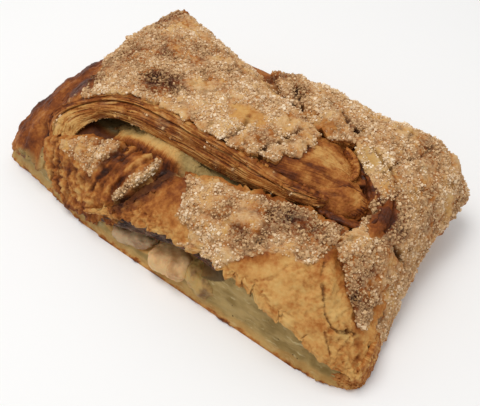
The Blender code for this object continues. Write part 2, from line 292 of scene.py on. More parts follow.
crustFinish = {
    "toastStops": (
        (0.00, paint(208, 166, 100)),
        (0.20, paint(198, 147, 82)),
        (0.40, paint(170, 105, 46)),
        (0.58, paint(130, 68, 24)),
        (0.76, paint(90, 43, 18)),
        (1.00, paint(44, 20, 9)),
    ),
    "frost": paint(216, 182, 136),
    "frostShare": 0.36,
    "doughPale": paint(174, 146, 92),
    "doughOlive": paint(136, 110, 60),
    "doughCream": paint(206, 188, 142),
    # dark colour of the painted shade in cracks, gaps between layers, valleys and hollows
    "crevice": paint(50, 25, 12),
    "broad": 9.0,
    "middle": 2.8,
    "fine": 0.9,
    "speck": 0.4,
    "grain": 0.7,
    "dots": 3.4,
    "toastPatchy": 0.5,
    "toastGrainy": 0.34,
    "frostOnPale": 0.9,  # how much more sugar shows white where the crust is paler than evenToast
    "evenToast": 0.4,
    "paintedShadeShare": 0.92,
}


def makeCrustMaterial():
    look = crustFinish
    fixed = {"Subsurface Weight": 0.06, "Subsurface Scale": 0.0012, "Specular IOR Level": 0.15}
    material, shader = startMaterial("baked_crust", fixed)
    shader.inputs["Subsurface Radius"].default_value = (1.0, 0.55, 0.28)
    place = objectPlace()
    sugar, toast, pale, crevice = (stored(name) for name in ("sugar", "toast", "pale", "crevice"))
    broad = noiseOver(place, look["broad"], 4.0) - 0.5
    middle = noiseOver(place, look["middle"], 4.0) - 0.5
    fine = noiseOver(place, look["fine"], 3.0)
    speck = noiseOver(place, look["speck"], 2.0)
    run = Wire.node("ShaderNodeCombineXYZ", None, {0: stored("run") * 3.0, 1: stored("strand"), 2: 0.0})
    lines = Wire.node("ShaderNodeTexNoise", None, {"Vector": run, "Scale": 1.0, "Detail": 3.0})
    strands = (lines - 0.5) * stored("streak")
    patchy = look["toastPatchy"]
    heat = toast + broad * patchy + middle * patchy + (fine - 0.5) * look["toastGrainy"] + strands
    baked = heat.ramp(*look["toastStops"])
    grainColour = cellsOver(place, look["grain"], output=1)
    grain = Wire.node("ShaderNodeSeparateColor", None, {0: grainColour})
    frosting = look["frostShare"] + (look["evenToast"] - toast) * look["frostOnPale"]
    frosting = frosting + broad * 0.7 + middle * 1.1 + (grain - 0.5) * 0.5
    frosted = Wire.node("ShaderNodeClamp", None, {0: frosting + (speck - 0.5) * 0.6})
    flat = Wire.node("ShaderNodeMapping", None, {"Vector": place, "Scale": (0.35, 0.35, 1.0)})
    veins = noiseOver(flat, 2.0, 5.0) - 0.5
    dough = mixColours((broad + veins * 0.7).rise(-0.2, 0.2), look["doughPale"], look["doughOlive"])
    threads = noiseOver(flat, 1.1, 4.0)
    dough = mixColours(threads.rise(0.56, 0.72) * 0.6, dough, look["doughCream"])
    # small dark dots on the dough, drawn in the painted shade colour
    dough = mixColours(cellsOver(place, look["dots"]).rise(0.09, 0.05), dough, look["crevice"])
    colour = mixColours(sugar * frosted, baked, look["frost"])
    colour = mixColours(pale, colour, dough)
    # painted shade: cracks, gaps, valleys and hollows darkened towards the shade colour
    colour = mixColours(crevice * look["paintedShadeShare"], colour, look["crevice"])
    Wire.plug(shader.inputs["Base Color"], colour)
    gloss = 0.6 + sugar * 0.2 - toast.rise(0.5, 0.9) * 0.24 * (1.0 - sugar) + (fine - 0.5) * 0.25
    Wire.plug(shader.inputs["Roughness"], gloss)
    pits = cellsOver(place, look["grain"]) * sugar * -0.6
    height = fine * 0.5 + speck * (0.3 + sugar * 0.5) + pits + strands * 1.5
    Wire.plug(shader.inputs["Normal"], bump(height, 0.7, 0.3))
    return material


def makeFillingMaterial():
    fixed = {"Subsurface Weight": 0.25, "Subsurface Scale": 0.002, "Coat Roughness": 0.25}
    material, shader = startMaterial("apple_filling", fixed)
    place = objectPlace()
    broad = noiseOver(place, 5.0, 4.0)
    fine = noiseOver(place, 0.9, 3.0)
    colour = (broad * 0.7 + fine * 0.3).ramp(
        (0.30, paint(84, 62, 30)), (0.48, paint(124, 100, 54)), (0.66, paint(158, 138, 88)))
    Wire.plug(shader.inputs["Base Color"], colour)
    Wire.plug(shader.inputs["Roughness"], 0.32 + fine * 0.3)
    shader.inputs["Coat Weight"].default_value = 0.25
    Wire.plug(shader.inputs["Normal"], bump(broad + fine * 0.4, 0.6, 0.5))
    return material


def makeAppleMaterial(name, light, deep):
    fixed = {"Subsurface Weight": 0.3, "Subsurface Scale": 0.002, "Specular IOR Level": 0.4}
    material, shader = startMaterial(name, fixed)
    place = objectPlace()
    broad = noiseOver(place, 4.5, 3.0)
    fine = noiseOver(place, 0.8, 3.0)
    Wire.plug(shader.inputs["Base Color"], mixColours(broad.rise(0.38, 0.66), light, deep))
    Wire.plug(shader.inputs["Roughness"], 0.42 + fine * 0.3)
    Wire.plug(shader.inputs["Normal"], bump(broad * 0.6 + fine * 0.4, 0.7, 0.5))
    return material


def makeSugarMaterial():
    fixed = {"Specular IOR Level": 0.35}
    material, shader = startMaterial("coarse_sugar", fixed)
    tint = stored("tint")
    colour = tint.ramp((0.0, paint(150, 108, 66)), (0.5, paint(212, 174, 126)), (1.0, paint(252, 234, 206)))
    Wire.plug(shader.inputs["Base Color"], colour)
    Wire.plug(shader.inputs["Roughness"], 0.62 - tint * 0.25)
    return material


crust = makeCrustMaterial()
fillingMaterial = makeFillingMaterial()
sugarMaterial = makeSugarMaterial()
print("materials made")


# Crust straps
# Patches are (x, y, half length, half width, amount) and add to the strap's own value
# Areas are outlines of sugar; lines are (points, width, lift, toast, sugar, shade), where shade is painted
# shade in cracks, folds and valleys and a dark line's toast adds to it
leftCrust = {
    "rows": (
        ((-73, -28.5, 5), (-66, -31, 8.5), (-57, -33, 10), (-50, -34, 9)),
        ((-71.5, -25, 11), (-65, -25, 16), (-57, -26, 19), (-50, -26, 17)),
        ((-69, -17, 17), (-63, -16, 22), (-55, -15, 25), (-48, -15, 24)),
        ((-66, -4, 22), (-61, -3, 27), (-54, -2, 29), (-46, -2, 31)),
        ((-61, 10, 23), (-58, 10, 27.5), (-52, 11, 31.5), (-46, 12, 34)),
        ((-58, 24, 26), (-55.5, 25, 31), (-51, 26, 35), (-46, 26, 37)),
        ((-57, 37, 21), (-54.5, 38, 28), (-50.5, 39, 33.5), (-46, 38, 35)),
    ),
    "thickness": 6.0,
    "sugar": -0.15,
    "sugarPatches": ((-52, -13, 5, 5, 0.5), (-50, 24, 8, 20, 0.9)),
    "toast": 0.6,
    "toastPatches": ((-68, -31, 7, 6, -0.25), (-66, -14, 8, 12, 0.12), (-60, 0, 5, 12, 0.15),
                     (-58, -24, 6, 6, -0.08)),
    "palePatches": ((-64, -33.2, 13, 3.4, 1.3), (-51.5, -30, 2.5, 4, 0.9)),
    "lines": (
        (((-52, -12), (-55, -18), (-57, -23), (-53, -28)), 1.0, -0.8, 0.1, 0.0, 0.3),
        (((-56, 2), (-58, -6), (-61, -14)), 1.0, 0.5, -0.1, 0.0, 0.0),
        (((-55.5, -13), (-54.5, -12)), 0.8, -1.0, 0.3, 0.0, 0.7),
        (((-50, -7), (-48.5, -6)), 0.7, -1.0, 0.3, 0.0, 0.7),
        (((-53.6, -25), (-53, -24)), 0.8, -0.9, 0.3, 0.0, 0.6),
    ),
}
backStrap = {
    "rows": (
        ((-58, -18, 22), (-49, -17, 28.5), (-40, -12.5, 34), (-28, -9, 38), (-12, -9, 39),
         (4, -9.5, 38), (15, -7.5, 36.5), (23, -4, 35.5)),
        ((-61, -6, 25), (-51, -4, 31), (-40, -2, 36), (-27, -1, 39), (-11, -1, 39),
         (4, -1, 38.5), (15, 0, 37.5), (25, 2, 35.5)),
        ((-57.5, 12, 28), (-50, 13, 33.5), (-39, 14, 37), (-26, 15, 38.5), (-12, 14, 38.5),
         (2, 12, 38), (14, 9, 37), (27, 9, 35)),
        ((-55, 26, 31.5), (-49, 28, 36.5), (-39, 28, 38), (-28, 26, 37.4), (-17, 23, 36.6),
         (-6, 19.6, 36), (7, 16.6, 35.6), (23, 15, 35)),
        ((-55, 36, 28), (-50, 38.5, 34), (-41, 36.4, 35.4), (-31, 33.4, 34), (-21, 30.6, 33),
         (-11, 27.6, 32.4), (0, 23.4, 32), (14, 19, 32)),
        ((-56, 38, 12), (-49, 39, 14), (-40, 38, 16), (-30, 36.6, 18), (-21, 35.6, 18),
         (-10, 34, 20), (2, 30, 22), (14, 24, 25)),
    ),
    "thickness": 7.0,
    "sugar": 0.85,
    "sugarPatches": ((-57, -8, 9, 16, -0.9), (-48, -12, 8, 7, -0.4), (6, 3, 9, 6, -0.5),
                     (-38, 12, 7, 5, -0.3)),
    "toast": 0.32,
    "toastPatches": ((-56, -8, 10, 16, 0.3), (-23, -0.5, 12, 6.5, 0.42), (-45, 31, 9, 8, 0.25),
                     (5, 1, 10, 8, -0.08), (-34, 4, 16, 12, 0.17), (-48, -10, 10, 8, 0.24),
                     (-30, 16, 12, 10, 0.2), (-12, -7, 14, 3, 0.1), (-46, 6, 8, 20, 0.24),
                     (-6, 2, 8, 6, -0.1), (-12, 12, 10, 8, 0.08)),
    "lines": (
        (((6, -9.5), (8, -5), (7.5, -1), (6.5, 3)), 0.6, -1.3, 0.1, -0.3, 0.9),
        (((17.5, -5.5), (17, -2), (19, 2), (19, 6), (20, 10)), 0.6, -1.3, 0.1, -0.3, 0.9),
        (((-34, -2), (-29, 0.5), (-23, 0), (-18, -2)), 0.5, -0.7, 0.15, -0.3, 0.6),
        (((-24, 30), (-16, 24), (-9, 18)), 0.5, -0.6, 0.1, 0.0, 0.5),
        (((-20, 36), (-9, 30), (1, 24.5), (12, 19), (20, 15.5)), 1.0, -0.6, 0.25, -0.5, 0.4),
    ),
}
farStrap = {
    "rows": (
        ((-7, 27, 30), (3, 20.5, 32.4), (13, 16.4, 34.6), (22, 13.6, 35.2), (32, 13.6, 34.2)),
        ((-4, 30, 33.2), (6, 25.6, 36.4), (16, 22.5, 37.2), (25, 20.5, 36.6), (35, 20, 35)),
        ((-3, 33.4, 30.4), (8, 32.5, 34.4), (18, 30.6, 35.8), (27, 28.6, 35.4), (37, 28, 34.5)),
        ((-6, 35.6, 22), (10, 36.8, 29.4), (20, 36.2, 31.4), (29, 36, 31.6), (38, 35.5, 31.5)),
        ((-8, 38, 10), (8, 39, 13), (20, 38.5, 15), (29, 38, 15), (37, 38, 14)),
    ),
    "thickness": 6.0,
    "sugar": 0.85,
    "sugarPatches": ((20, 16.5, 11, 4.5, -0.42), (17, 13.4, 12, 1.8, -0.6)),
    "palePatches": ((21, 17.5, 10, 3.6, 0.12),),
    "toast": 0.33,
    "toastPatches": ((20, 17, 12, 5, 0.06), (17, 13.5, 12, 2.5, 0.2), (10, 24, 5, 5, 0.3),
                     (0, 30, 7, 6, 0.25)),
    "lines": (
        (((-6, 28.5), (1, 23), (7, 19.5), (13, 17)), 1.2, -0.9, 0.2, -0.5, 0.6),
        (((7.5, 25.5), (9, 23), (12, 20.5), (14.5, 18)), 0.7, -1.8, 0.2, -0.4, 1.0),
        (((25, 24), (30, 20.5), (36, 19.5)), 0.5, -1.0, 0.2, -0.4, 0.8),
        (((35.5, 30), (36.5, 23), (33, 20)), 1.0, -1.6, 0.2, -0.3, 0.9),
    ),
}
rightStrap = {
    "rows": (
        ((49, -14.6, 29.4), (56, -19.6, 23.6), (62, -22.5, 15), (69, -25.5, 2.6)),
        ((47.5, -11.6, 30.4), (55, -13.6, 28.4), (62, -16, 19), (68, -18.5, 2.4)),
        ((49, -8, 29.5), (56, -8, 28.5), (62, -9, 19), (67, -10, 2.8)),
        ((51.5, -1, 29.8), (57, -2, 29.5), (62, -2, 21), (66.2, -2, 3.6)),
        ((47, 8, 32), (55, 7, 31), (61.5, 7, 24), (64.8, 6, 5.5)),
        ((33, 14, 35), (46, 15, 34), (59.8, 16, 28.2), (64, 15, 10.5)),
        ((34, 25, 35.5), (47, 26, 35), (60.5, 26, 29), (65, 26, 13)),
        ((35, 35, 33), (46.5, 38, 32.6), (59.5, 38.6, 28.4), (65, 38, 13)),
        ((37, 39, 18), (46, 40, 18), (57, 40.6, 16), (63, 40, 8)),
    ),
    "thickness": 6.0,
    "sugar": 0.85,
    "sugarPatches": ((41, 14, 8, 5, -0.36), (60, -4, 5, 5, -0.3), (53.6, 0, 3.4, 9, -0.9)),
    "palePatches": ((42, 14, 8, 4.6, 0.3),),
    "toast": 0.34,
    "toastPatches": ((41, 14, 9, 6, -0.26), (55, 2, 8, 9, 0.32), (57, -17, 12, 9, 0.22),
                     (60, 24, 8, 20, 0.06)),
    "lines": (
        (((52, 32), (51, 24), (48, 19), (46.5, 11)), 0.4, -0.9, 0.1, -0.2, 0.8),
        (((45, 30), (46.5, 23)), 0.5, -0.8, 0.1, 0.0, 0.7),
        (((60, -2), (62, -0.5)), 0.7, -1.6, 0.0, -0.5, 1.0),
        (((47, 10.5), (51, 6.5), (53.6, 2.5), (54.4, -1.5), (54, -7)), 0.6, 0.8, 0.0, -0.6, 0.0),
        (((52.5, 8), (55.4, 3), (56.2, -2)), 0.4, -0.6, 0.15, -0.5, 0.4),
        (((40, 17), (47, 14), (53, 9)), 0.5, -0.7, 0.25, -0.3, 0.6),
    ),
}
frontStrap = {
    "rows": (
        ((-31, -37.5, 8), (-20, -37, 13), (-8, -35.5, 17), (6, -34.5, 20), (22, -34.5, 21.5),
         (36, -35.5, 20), (49, -36, 16), (60, -35.6, 10.5), (69, -32.8, 6)),
        ((-14, -33.4, 17.5), (-6, -32, 21.5), (3, -31, 24.5), (14, -30, 26.5), (27, -30, 27),
         (39, -30.5, 25.5), (50, -31, 22), (60.5, -30.6, 15), (69.6, -28.6, 8)),
        ((-6.5, -26.5, 24), (0, -24.5, 27), (8, -23, 29), (18, -22, 29.5), (29, -20, 29.5),
         (40, -19, 28.5), (51, -20, 25.5), (60, -21, 17.5), (67, -22, 9)),
        ((-5.5, -20, 25), (-0.5, -17.5, 27), (7, -15, 28.5), (18, -12.5, 29), (29, -9.5, 28.8),
         (41, -7.2, 28.3), (50, -6.6, 27.3), (57, -8, 24), (65, -10, 14)),
    ),
    "thickness": 2.6,
    "sugar": 0.0,
    "sugarAreas": (
        ((2, -18.4), (3.4, -22.5), (5.4, -26), (6, -30.2), (13.9, -31.6), (21, -33.5), (27, -33),
         (30, -31), (35, -26), (39.5, -24), (43, -24), (47, -20), (46.5, -17), (49, -13), (50, -7),
         (44, -7.4), (32, -10.4), (20, -13.7), (8, -16.5), (-1, -19.2)),
        ((8, -36), (20, -36), (26, -34), (14, -33)),
    ),
    "toast": 0.34,
    "toastPatches": ((33, -14, 13, 7, 0.26), (45, -10, 8, 5, 0.25), (-4, -23, 12, 9, 0.22),
                     (-10, -32, 12, 6, 0.12), (30, -37, 50, 5, -0.14), (43, -17, 9, 7, 0.15),
                     (12, -27, 10, 7, 0.04), (29, -27, 9, 6, 0.2), (50, -28, 24, 12, -0.12),
                     (55, -18, 6, 5, 0.12), (62, -25, 9, 8, -0.06)),
    "crumblyPatches": ((-10, -34, 22, 5, 0.9), (14, -34, 12, 3, 0.6), (52, -26, 14, 9, 0.7),
                       (64, -30, 9, 8, 0.8), (38, -35, 26, 2.6, 0.9)),
    "lines": (
        # the valley at the strap's left edge is painted shade
        (((-5, -17), (-6, -22), (-8, -27), (-14, -33)), 2.4, -0.4, 0.25, -1.0, 0.85),
        (((48, -19), (49, -22), (51, -24), (53, -26), (55, -28)), 0.22, -0.9, 0.1, 0.0, 0.9),
        (((55, -28), (58, -29), (60, -28), (63, -25)), 0.22, -0.8, 0.1, 0.0, 0.8),
        (((57, -31), (60, -33)), 0.3, -0.8, 0.2, 0.0, 0.9),
        (((49.6, -18), (51.5, -21.5), (54, -24), (57, -26.5)), 1.2, 0.8, -0.06, 0.0, 0.0),
        (((59, -20.5), (62, -23), (65, -26), (67, -30)), 0.8, -0.5, 0.15, 0.0, 0.3),
        (((36, -33), (40, -30), (41, -26)), 0.3, -0.4, 0.1, 0.0, 0.2),
        (((28, -15.5), (30, -20), (31, -25)), 0.9, -0.9, 0.2, 0.0, 0.5),
        (((-9, -20.5), (-2, -18), (7, -15.5), (18, -13), (29, -10), (41, -7), (48, -6)),
         0.8, 0.4, 0.02, -1.2, 0.0),
    ),
}
leftLobe = {
    "rows": (
        ((-54, -31, 9), (-43, -35.2, 5.5), (-31, -37, 3.5), (-20, -36.6, 7.5), (-11, -34.2, 12.5)),
        ((-54, -28, 16.5), (-43, -31, 16.5), (-31, -32.5, 17.5), (-19, -30, 19.5), (-8, -27, 17)),
        ((-53, -27, 18.5), (-42.5, -26.5, 23.5), (-31, -25, 25.5), (-19, -22.5, 26.5), (-6, -20, 22)),
        ((-51.5, -25, 18), (-43, -22, 21.8), (-32, -17.2, 23.4), (-18, -15, 25), (-3, -14.5, 22.5)),
    ),
    "thickness": 6.0,
    "swell": 0.4,
    "sugar": -0.2,
    "sugarAreas": (
        ((-46, -28), (-41.5, -24), (-33, -19.5), (-27, -17.5), (-23.5, -22), (-25.5, -28), (-29, -30.5),
         (-35, -29.5), (-42, -29.5)),
        ((-10, -16.5), (-10.5, -21), (-12.5, -25.5), (-15.5, -31), (-19.5, -32), (-17, -26), (-14, -21.5),
         (-13.5, -17)),
    ),
    "toast": 0.44,
    "toastPatches": ((-19, -24, 9, 12, 0.08), (-34, -33, 16, 4, -0.1), (-46, -28, 6, 8, -0.02),
                     (-34, -25, 12, 7, -0.14), (-11, -24, 3, 8, -0.3), (-6, -20, 5, 12, 0.36),
                     (-28, -37, 18, 3, 0.15)),
    "lines": (
        (((-11.5, -16.5), (-12.2, -22), (-14.5, -27), (-17, -31)), 1.2, 1.3, -0.2, 0.3, 0.0),
        # the dark valley beside the front strap: painted shade, darkened by its toast too
        (((-3, -15), (-7, -20), (-9.4, -25.5), (-14, -31.5)), 2.8, -1.2, 0.34, -0.6, 1.0),
        (((-24.5, -17), (-24, -21), (-26, -27)), 1.1, -1.3, 0.25, -0.5, 0.85),
        (((-14.5, -15.5), (-15.5, -21), (-17.5, -26), (-20, -30)), 0.5, -0.8, 0.25, 0.0, 0.5),
        (((-16.5, -16), (-17.5, -22), (-19.5, -27), (-22, -31)), 0.4, 0.4, -0.15, 0.2, 0.0),
        (((-18.5, -16), (-19.5, -22), (-21.5, -27), (-24, -31)), 0.4, -0.5, 0.1, 0.0, 0.3),
        (((-20.5, -17), (-21.5, -22), (-23.5, -27), (-27, -32)), 0.5, -1.0, 0.3, -0.4, 0.7),
        (((-24, -17.5), (-23, -22), (-25, -28)), 0.4, 0.6, 0.25, -0.2, 0.0),
        (((-28, -31), (-33, -31.5), (-39, -30.5), (-44, -31)), 0.6, -0.7, 0.2, -0.4, 0.5),
        (((-47.5, -24), (-47, -29), (-45.5, -34)), 0.5, -0.7, 0.2, -0.4, 0.5),
        (((-44.5, -28), (-43.5, -31), (-41.5, -35)), 0.5, -0.5, 0.2, -0.2, 0.4),
    ),
    "crumblyPatches": ((-36, -35, 20, 7, 1.0), (-46, -28, 7, 9, 0.6), (-15, -33, 9, 5, 0.8),
                       (-33, -25, 11, 7, 0.5), (-12, -24, 5, 9, 0.4)),
    "folds": 0.3,
}
tongue = {
    "rows": (
        ((15, -9.5, 29.5), (27, -7.5, 29), (38, -5.2, 28), (46, -3.6, 26.5)),
        ((17, -8.5, 33), (28, -5, 32.4), (39, -2.2, 31.8), (48.5, 0.4, 28.5)),
        ((18, -4, 35.5), (28, 0, 34.8), (37, 3, 33.6), (46.5, 4.6, 30)),
        ((19, 4, 35), (27, 8, 35.2), (33, 9.5, 34), (38.5, 9, 31)),
        ((20, 12, 33), (26, 14, 33.5), (31, 15, 32), (35, 15, 29.5)),
    ),
    "thickness": 5.0,
    "swell": 0.3,
    "ragged": 0.3,
    "sugar": -0.2,
    "toast": 0.46,
    "toastPatches": ((44, 0.5, 9, 4.5, 0.25), (28, -6, 16, 4, 0.2), (40, -5, 12, 3, 0.15),
                     (20, 5, 8, 12, 0.22), (32, 7, 8, 5, -0.26)),
    "lines": (
        (((22, 0), (30, 1), (38, 1.4)), 0.5, -0.5, 0.16, 0.0, 0.3),
        (((21, 5), (28, 5.4), (35, 4.6)), 0.4, -0.4, 0.12, 0.0, 0.2),
        (((23, 10), (29, 9.6), (35, 8)), 0.4, -0.4, 0.12, 0.0, 0.2),
    ),
    "streaks": (0.24, "along", 60.0),
}
paleDough = {
    "rows": (
        ((-40, -21, 16), (-31, -19.5, 19.5), (-23, -19, 21.5), (-14, -18.5, 22), (-5, -17.6, 21),
         (4, -15.6, 20), (13, -14, 19)),
        ((-40, -17, 18.5), (-31.5, -16, 24), (-23, -15.4, 27.2), (-14, -14.8, 27.8), (-5, -14.4, 26.6),
         (4, -13.6, 24), (13, -12.6, 21)),
        ((-40, -9, 18), (-31, -9, 22.5), (-23, -9, 27), (-14, -9, 27.8), (-5, -9.5, 27), (4, -11, 24),
         (13, -11.4, 21)),
    ),
    "thickness": 4.5,
    "swell": 0.9,
    "sugar": -0.3,
    "toast": 0.36,
    "toastPatches": ((-14, -18.5, 24, 4.5, 0.46), (-20, -11, 24, 5, -0.44)),
    "palePatches": ((-24, -9, 20, 5.5, 0.75), (2, -12, 12, 6, 1.4)),
    "lines": (
        # painted shade on the floor of the arch hole
        (((-44, -18), (-40, -14), (-36, -8)), 5.0, 0.0, 0.2, 0.0, 0.75),
    ),
    "streaks": (0.3, "across", 60.0),
}
tongueNose = {
    "rows": (
        ((32, -7.6, 26.6), (38, -6.6, 26.8), (43.5, -4.8, 26.6), (48, -1.6, 25.5)),
        ((33, -6, 30.6), (38.5, -4.8, 31), (44, -2.4, 30.2), (48.8, 0.6, 27.4)),
        ((35, -2, 32.2), (40, -0.6, 32.4), (44.8, 1.4, 31.2), (48.2, 3.2, 28.4)),
        ((38, 2.6, 31.6), (41.6, 3.6, 31.6), (44.6, 4.6, 30.4), (46.6, 5.6, 28)),
    ),
    "thickness": 4.5,
    "swell": 0.2,
    "ragged": 0.0,
    "sugar": -0.3,
    "toast": 0.47,
    # the paler patch at (43, 2) is a painted highlight on the nose
    "toastPatches": ((43, 2, 5, 3.6, -0.12), (37, -5, 6, 2.6, 0.16), (46.5, -2, 4, 4, 0.06)),
    "lines": (
        (((33, -4), (38, -2.6), (42, -0.8)), 0.4, -0.3, 0.1, 0.0, 0.3),
    ),
}
straps = {
    "left_crust": leftCrust, "back_strap": backStrap, "far_strap": farStrap, "right_strap": rightStrap,
    "front_strap": frontStrap, "left_lobe": leftLobe, "tongue": tongue, "tongue_nose": tongueNose,
    "pale_dough": paleDough,
}
strapForm = {
    "levels": 4,
    "rimCrease": 0.45,
    "edgeReach": 6.0,  # how far in from its edge a strap is ragged
    "sugarLift": 0.45,
    "hiddenToast": 0.35,
    "hiddenDepth": 0.985,
}


def patchSum(strap, kind, place):
    total = 0.0
    for middleX, middleY, halfX, halfY, amount in strap.get(kind, ()):
        away = ((place.x - middleX) / halfX) ** 2 + ((place.y - middleY) / halfY) ** 2
        if away < 1.0:
            total += amount * smooth(1.0 - away)
    return total


def awayFromRun(x, y, start, end):
    runX, runY = end[0] - start[0], end[1] - start[1]
    share = ((x - start[0]) * runX + (y - start[1]) * runY) / (runX * runX + runY * runY)
    share = min(max(share, 0.0), 1.0)
    return math.hypot(x - start[0] - share * runX, y - start[1] - share * runY)


def areaSum(areas, x, y):
    # 1 inside each outline, 0 outside, half on its edge
    total = 0.0
    for corners in areas:
        inside, nearest = False, 100.0
        for start, end in zip(corners, (*corners[1:], corners[0])):
            if (start[1] > y) != (end[1] > y):
                if x < start[0] + (end[0] - start[0]) * (y - start[1]) / (end[1] - start[1]):
                    inside = not inside
            nearest = min(nearest, awayFromRun(x, y, start, end))
        total += smooth(0.5 + (nearest if inside else -nearest) / 4.0)
    return total


def lineSum(lines, place):
    # lift, toast, sugar and painted shade of the ridges, folds, valleys and cracks that pass near
    sums = [0.0, 0.0, 0.0, 0.0]
    wander = 0.6 * noise.noise(place * 0.5) + 0.3 * noise.noise(place * 1.4)
    vary = 0.8 + 0.7 * noise.noise(place * 0.33)
    for points, width, *amounts in lines:
        away = min(awayFromRun(place.x, place.y, start, end) for start, end in zip(points, points[1:]))
        if away < 2.0 * width + 0.75:
            share = (1.0 - smooth(abs(away + wander) / (2.0 * width))) * vary
            for number, amount in enumerate(amounts):
                sums[number] += amount * share
    return sums


def cagePoint(rows, along, across):
    # place on the cage between its guide points
    column, row = along * (len(rows[0]) - 1), across * (len(rows) - 1)
    left, low = min(int(column), len(rows[0]) - 2), min(int(row), len(rows) - 2)
    share = column - left
    near = Vector(rows[low][left]).lerp(Vector(rows[low][left + 1]), share)
    far = Vector(rows[low + 1][left]).lerp(Vector(rows[low + 1][left + 1]), share)
    return near.lerp(far, row - low)


def raggedShift(strap, place, along, across):
    # how far and where a spot by the edge is pushed to make the edge uneven
    rows = strap["rows"]
    here = cagePoint(rows, along, across)
    edge = min((here - cagePoint(rows, round(along), across)).length,
               (here - cagePoint(rows, along, round(across))).length)
    if edge > strapForm["edgeReach"]:
        return Vector((0, 0, 0))
    inside = cagePoint(rows, 0.5 + (along - 0.5) * 0.9, 0.5 + (across - 0.5) * 0.9)
    flat = Vector((place.x, place.y, 0.0))
    bites = 1.4 * smooth(3.0 * noise.noise(flat * 0.42) - 0.7)
    amount = 1.7 * noise.fractal(flat * 0.26, 0.75, 2.1, 4) - bites
    fade = smooth(1.0 - edge / strapForm["edgeReach"])
    return (here - inside).normalized() * amount * fade * strap.get("ragged", 1.0)


def makeStrapShape(strap):
    # cage over the guide points, thickened downwards, softened and refined where it shows
    rows = strap["rows"]
    cage = bmesh.new()
    across, along, depth = floatLayers(cage, "across", "along", "depth")
    crease = cage.edges.layers.float.new("crease_edge")
    bmesh.ops.create_grid(cage, x_segments=len(rows[0]) - 1, y_segments=len(rows) - 1, size=1.0)
    for number, vert in enumerate(gridOrder(cage)):
        row, column = divmod(number, len(rows[0]))
        vert.co = rows[row][column]
        vert[along] = column / (len(rows[0]) - 1)
        vert[across] = row / (len(rows) - 1)
    cage.normal_update()
    inwards = {vert.co.to_tuple(3): -vert.normal * strap["thickness"] for vert in cage.verts}
    for edge in cage.edges:
        if edge.is_boundary:
            edge[crease] = strapForm["rimCrease"]
    underVerts, underEdges = doubleFaces(cage)
    for vert in underVerts:
        vert.co += inwards[vert.co.to_tuple(3)]
        vert[depth] = 1.0
    for edge in underEdges:
        edge[crease] = 0.0
    bmesh.ops.recalc_face_normals(cage, faces=cage.faces)
    steadyOrder(cage)
    soft = tempObject(cage)
    subsurf(soft, strapForm["levels"])
    shape = evaluatedShape(soft)
    depth = shape.verts.layers.float["depth"]
    showing = {edge: True for face in shape.faces if sum(vert[depth] for vert in face.verts) < 3.4
               for edge in face.edges}
    bmesh.ops.subdivide_edges(shape, edges=list(showing), cuts=1, use_grid_fill=True)
    shape.normal_update()
    return shape


